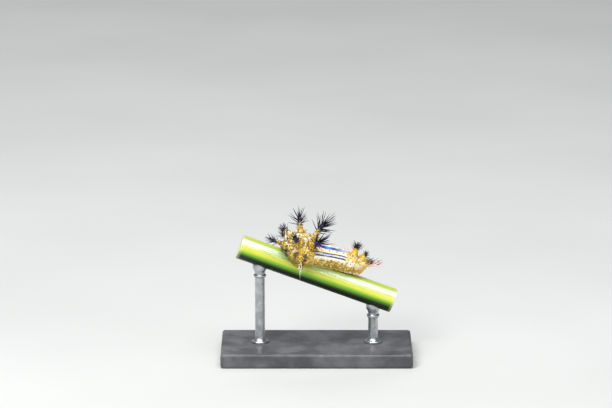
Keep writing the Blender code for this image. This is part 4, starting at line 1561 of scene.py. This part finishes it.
def finish_base(settings):
    """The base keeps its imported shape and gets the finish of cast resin."""
    paint = Paint("display_base", Coat_Weight=0.15, Coat_Roughness=0.3)
    cloud, speckle = paint.noise(3.0, 4), paint.noise(0.25)
    height = paint.split(paint.where)[2]
    top_edge = paint.step(height, (BASE_TOP - 0.30) * MM, (BASE_TOP - 0.05) * MM)
    colour = paint.layers(
        settings.resin,
        (paint.step(cloud, 0.35, 0.7), settings.resin_light),
        (paint.step(speckle, 0.62, 0.7, 0.0, 0.5), settings.resin_light),
        (paint.times(top_edge, paint.step(cloud, 0.45, 0.7, 0.0, 0.25)), settings.resin_light),
    )
    roughness = paint.step(speckle, 0.3, 0.7, 0.38, 0.58)
    material = paint.finish(colour, roughness, paint.bump(speckle, 0.015, 0.5))
    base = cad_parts["stand_base"]
    base.data.materials.clear()
    base.data.materials.append(material)


# The camera looks from straight beside the larva, a little down, through a long lens. The picture's
# width, and its centre to the right of and above the middle of the stem, are those of the photo
PICTURE_WIDTH = 86.4
PICTURE_CENTRE = (-1.50, 9.83)
# The lights: azimuth and elevation in degrees, then distance, width and height in metres
LIGHTS = {
    "key": (-12, 68, 0.42, 0.50, 0.30),
    "side": (-30, 34, 0.45, 0.16, 0.10),
    "fill": (30, 20, 0.55, 0.40, 0.30),
    "rim": (190, 45, 0.50, 0.20, 0.12),
}


def away_at(azimuth, elevation):
    """The direction to a light or the camera, from angles in degrees."""
    turn, lift = math.radians(azimuth), math.radians(elevation)
    return Vector((math.sin(turn) * math.cos(lift), -math.cos(turn) * math.cos(lift), math.sin(lift)))


def placed(name, data, target, away, distance):
    """A light or the camera at a distance from its target, and turned to it."""
    obj = bpy.data.objects.new(name, data)
    bpy.context.scene.collection.objects.link(obj)
    obj.location = target + away * distance
    obj.rotation_euler = (-away).to_track_quat("-Z", "Y").to_euler()
    return obj


def make_stage(settings):
    """The floor, the lights and the camera."""
    bpy.ops.object.select_all(action="DESELECT")
    bpy.ops.mesh.primitive_plane_add(size=6.0)
    floor = bpy.context.object
    floor.name = "floor"
    paint = Paint("floor", Roughness=0.8)
    paint.finish(paint.mix(paint.step(paint.noise(60.0, 3), 0.3, 0.7), settings.floor, settings.floor_shade))
    floor.data.materials.append(paint.material)

    world = bpy.data.worlds.new("studio")
    world.use_nodes = True
    world.node_tree.nodes["Background"].inputs["Color"].default_value = (*settings.sky, 1.0)
    world.node_tree.nodes["Background"].inputs["Strength"].default_value = settings.sky_strength
    bpy.context.scene.world = world

    middle = Vector(MIDDLE) * MM
    for name, (azimuth, elevation, distance, wide, tall) in LIGHTS.items():
        light = bpy.data.lights.new(f"{name}_light", "AREA")
        light.shape = "RECTANGLE"
        light.size, light.size_y = wide, tall
        light.energy = getattr(settings, f"{name}_power")
        placed(f"{name}_light", light, middle, away_at(azimuth, elevation), distance)

    camera = bpy.data.cameras.new("camera")
    camera.lens = camera.sensor_width * settings.distance / (PICTURE_WIDTH * MM)
    camera.clip_start, camera.clip_end = 0.01, 20.0
    across_picture, up_picture = PICTURE_CENTRE
    lift = settings.elevation
    picture_up = Vector((0, math.sin(lift), math.cos(lift)))
    target = middle + Vector((across_picture, 0, 0)) * MM + picture_up * up_picture * MM
    away = away_at(0, math.degrees(lift))
    bpy.context.scene.camera = placed("camera", camera, target, away, settings.distance)
    bpy.context.scene.view_settings.view_transform = "Standard"


def colour(name, description, value):
    return FloatVectorProperty(
        name=name, description=description, default=value, subtype="COLOR", size=3, min=0.0, max=1.0
    )


def length(name, description, millimetres):
    return FloatProperty(
        name=name, description=description, default=millimetres * MM, unit="LENGTH", min=0.001 * MM
    )


def factor(name, description):
    return FloatProperty(name=name, description=description, default=1.0, subtype="FACTOR", min=0.1, max=3.0)


def power(name, description, watts):
    return FloatProperty(name=name, description=description, default=watts, unit="POWER", min=0.0)


class LarvaSkinSettings(bpy.types.PropertyGroup):
    voxel: length("Voxel", "Size of the steps in the skin's mesh", 0.062)
    grain: length("Grain size", "Size of the skin's fine grains", 0.18)
    grain_height: length("Grain height", "Height of the fine grains", 0.042)
    coarse_grain: length("Coarse grain size", "Size of the larger grains", 0.30)
    coarse_height: length("Coarse grain height", "Height of the larger grains", 0.050)
    fold_depth: length("Fold depth", "Depth of the folds between segments", 0.08)
    lump: length("Lump size", "Size of the broad lumps", 1.0)
    lump_height: length("Lump height", "Height of the broad lumps", 0.06)
    tan: colour("Tan", "Main colour of the thorax", (0.62, 0.40, 0.020))
    # Straw is also laid on the tops of the grains as a painted highlight
    straw: colour("Straw", "Yellow edges of the pale bands", (0.84, 0.63, 0.10))
    cream: colour("Cream", "Pale bands and the tips of grains", (0.95, 0.92, 0.74))
    amber: colour("Amber", "Lower side", (0.42, 0.25, 0.008))
    gold: colour("Gold", "Feet of the horns and thin edge lines", (0.85, 0.50, 0.008))
    apricot: colour("Apricot", "Rear edge of the tail", (0.88, 0.44, 0.05))
    orange: colour("Orange", "Lower corner of the tail", (0.95, 0.26, 0.008))
    # Painted shade on the first segment under the hood of the second
    under_hood: colour("Under the hood", "The first segment, under the second", (0.030, 0.019, 0.011))
    # Olive is the thorax's own patches and also painted shade on the lower front flank
    olive_and_shade: colour("Olive", "Patches of the thorax", (0.15, 0.125, 0.004))
    bark: colour("Trunk shade", "Marks on the trunks of the horns", (0.13, 0.075, 0.008))
    # Painted shade in the folds, between the grains and round the horn feet; random dark freckles and specks
    # use the same brown
    hollow_shade: colour("Crease", "Inside folds", (0.12, 0.062, 0.008))
    line: colour("Line", "The two dark lines", (0.010, 0.010, 0.020))
    lavender: colour("Lavender", "Between the dark lines", (0.62, 0.62, 0.90))
    deep_blue: colour("Deep blue", "Back stripe, dark part", (0.005, 0.015, 0.50))
    sky_blue: colour("Sky blue", "Back stripe, bright part", (0.02, 0.36, 0.95))
    wart: colour("Wart", "Pale warts and the ends of the side horns", (0.96, 0.94, 0.86))
    knob: colour("Knob", "Small knobs of the back", (0.52, 0.27, 0.02))
    pink: colour("Pink", "The trailing pair of horns", (0.84, 0.56, 0.47))
    black: colour("Black", "Outer part of the dark horns", (0.008, 0.006, 0.014))
    # Painted sheen on the dark horns
    violet_sheen: colour("Violet", "Sheen on the dark horns", (0.06, 0.03, 0.34))


class LarvaSpineSettings(bpy.types.PropertyGroup):
    density: factor("Density", "Share of the usual number of long spines")
    thickness: factor("Thickness", "Share of the usual thickness of long spines")
    spine_black: colour("Black", "Dark spines", (0.006, 0.005, 0.008))
    # Painted sheen on the dark spines
    spine_violet_sheen: colour("Violet", "Sheen on dark spines", (0.015, 0.008, 0.06))
    spine_gold: colour("Gold", "Short spines at a horn's foot", (0.86, 0.54, 0.012))
    spine_cream: colour("Cream", "Pale spines", (0.92, 0.78, 0.34))
    spine_brown: colour("Brown", "Tips of pale spines", (0.22, 0.08, 0.02))
    spine_pink: colour("Pink", "Spines of the trailing pair", (0.86, 0.66, 0.60))
    spine_clear: colour("Clear", "Clear hairs", (0.92, 0.90, 0.86))


class LarvaHeadSettings(bpy.types.PropertyGroup):
    head_dark: colour("Dark brown", "Cheeks and eyes", (0.030, 0.016, 0.008))
    head_brown: colour("Brown", "Head and leg blotches", (0.16, 0.08, 0.03))
    head_pale: colour("Pale brown", "Crown and the middle of the face", (0.42, 0.27, 0.11))
    leg_amber: colour("Amber", "Legs and mouthparts", (0.46, 0.26, 0.07))
    eye_black: colour("Black", "Eyes", (0.004, 0.004, 0.005))


class GrassStemSettings(bpy.types.PropertyGroup):
    ribs: IntProperty(name="Ribs", description="Number of fine ribs round the stem", default=44, min=8)
    rib_depth: length("Rib depth", "Depth between the ribs", 0.014)
    straw: colour("Straw", "Yellow-green upper side and streaks", (0.70, 0.70, 0.05))
    lime: colour("Lime", "Light green bands", (0.33, 0.56, 0.04))
    leaf: colour("Leaf green", "Middle of the stem's side", (0.11, 0.32, 0.02))
    # Moss and Shade darken the stem's underside as painted shade; Shade also darkens the hollow core as
    # painted shade
    moss: colour("Moss green", "Lower side and dark streaks", (0.035, 0.10, 0.012))
    shade: colour("Shade", "Underside and the hollow core", (0.008, 0.018, 0.004))
    # Bloom is partly a waxy bloom on the culm and partly a painted highlight along its upper side
    bloom_and_highlight: colour("Bloom", "Pale waxy band and threads", (0.62, 0.80, 0.40))
    pith: colour("Pith", "Cut ends", (0.72, 0.72, 0.42))


class DisplayStandSettings(bpy.types.PropertyGroup):
    steel: colour("Steel", "Rods", (0.56, 0.57, 0.58))
    steel_dark: colour("Dark steel", "Clouds in the rods", (0.40, 0.41, 0.43))
    resin: colour("Resin", "Base", (0.055, 0.056, 0.062))
    resin_light: colour("Light resin", "Specks and edges of the base", (0.13, 0.13, 0.14))


class StageSettings(bpy.types.PropertyGroup):
    distance: length("Distance", "From the camera to the larva", 500)
    elevation: FloatProperty(
        name="Elevation",
        description="Camera's height above the level",
        default=math.radians(13),
        subtype="ANGLE",
    )
    key_power: power("Key", "The broad light above", 2.3)
    side_power: power("Side", "The small light in front", 0.75)
    fill_power: power("Fill", "The fill light", 0.22)
    rim_power: power("Rim", "The light behind", 0.30)
    sky_strength: FloatProperty(
        name="Sky strength", description="Strength of the soft light all round", default=0.24, min=0.0
    )
    sky: colour("Sky", "Soft light all round", (0.88, 0.93, 1.0))
    floor: colour("Floor", "Floor", (0.66, 0.67, 0.65))
    floor_shade: colour("Floor clouds", "Faint clouds in the floor", (0.62, 0.63, 0.61))


class MakeSkin(bpy.types.Operator):
    """Make the skin over the body and the fleshy horns"""

    bl_idname = "larva.make_skin"
    bl_label = "Make Skin"

    def execute(self, context):
        make_skin(context.scene.larva_skin)
        return {"FINISHED"}


class MakeSpines(bpy.types.Operator):
    """Make the long spines, the short ones and the clear hairs"""

    bl_idname = "larva.make_spines"
    bl_label = "Make Spines"

    def execute(self, context):
        make_spines(context.scene.larva_spines)
        return {"FINISHED"}


class MakeHead(bpy.types.Operator):
    """Make the head with its eyes, feelers and mouthparts"""

    bl_idname = "larva.make_head"
    bl_label = "Make Head"

    def execute(self, context):
        make_head(context.scene.larva_head)
        return {"FINISHED"}


class MakeLegs(bpy.types.Operator):
    """Make the six short legs"""

    bl_idname = "larva.make_legs"
    bl_label = "Make Legs"

    def execute(self, context):
        make_legs(context.scene.larva_head)
        return {"FINISHED"}


class MakeStem(bpy.types.Operator):
    """Make the cut length of grass stem"""

    bl_idname = "larva.make_stem"
    bl_label = "Make Stem"

    def execute(self, context):
        make_stem(context.scene.grass_stem)
        return {"FINISHED"}


class MakeStand(bpy.types.Operator):
    """Make the display rods and finish the base"""

    bl_idname = "larva.make_stand"
    bl_label = "Make Stand"

    def execute(self, context):
        make_rods(context.scene.display_stand)
        finish_base(context.scene.display_stand)
        return {"FINISHED"}


class MakeStage(bpy.types.Operator):
    """Make the floor, the lights and the camera"""

    bl_idname = "larva.make_stage"
    bl_label = "Make Stage"

    def execute(self, context):
        make_stage(context.scene.larva_stage)
        return {"FINISHED"}


class LarvaPanel(bpy.types.Panel):
    """Lists the pieces of the model and their settings"""

    bl_idname = "VIEW3D_PT_larva"
    bl_label = "Slug Moth Larva"
    bl_space_type = "VIEW_3D"
    bl_region_type = "UI"
    bl_category = "Larva"

    def draw(self, context):
        for operator, group in PARTS:
            box = self.layout.box()
            box.operator(operator.bl_idname)
            settings = getattr(context.scene, group)
            for name in settings.__annotations__:
                box.prop(settings, name)


PARTS = (
    (MakeStage, "larva_stage"),
    (MakeStem, "grass_stem"),
    (MakeStand, "display_stand"),
    (MakeSkin, "larva_skin"),
    (MakeHead, "larva_head"),
    (MakeLegs, "larva_head"),
    (MakeSpines, "larva_spines"),
)
GROUPS = {
    "larva_skin": LarvaSkinSettings,
    "larva_spines": LarvaSpineSettings,
    "larva_head": LarvaHeadSettings,
    "grass_stem": GrassStemSettings,
    "display_stand": DisplayStandSettings,
    "larva_stage": StageSettings,
}
CLASSES = (*GROUPS.values(), *(operator for operator, _ in PARTS), LarvaPanel)


def register():
    for item in CLASSES:
        bpy.utils.register_class(item)
    for name, group in GROUPS.items():
        setattr(bpy.types.Scene, name, PointerProperty(type=group))


def unregister():
    for name in GROUPS:
        delattr(bpy.types.Scene, name)
    for item in reversed(CLASSES):
        bpy.utils.unregister_class(item)


def main():
    register()
    bpy.ops.larva.make_stage()
    bpy.ops.larva.make_stem()
    bpy.ops.larva.make_stand()
    bpy.ops.larva.make_skin()
    bpy.ops.larva.make_head()
    bpy.ops.larva.make_legs()
    bpy.ops.larva.make_spines()


if __name__ == "__main__":
    main()
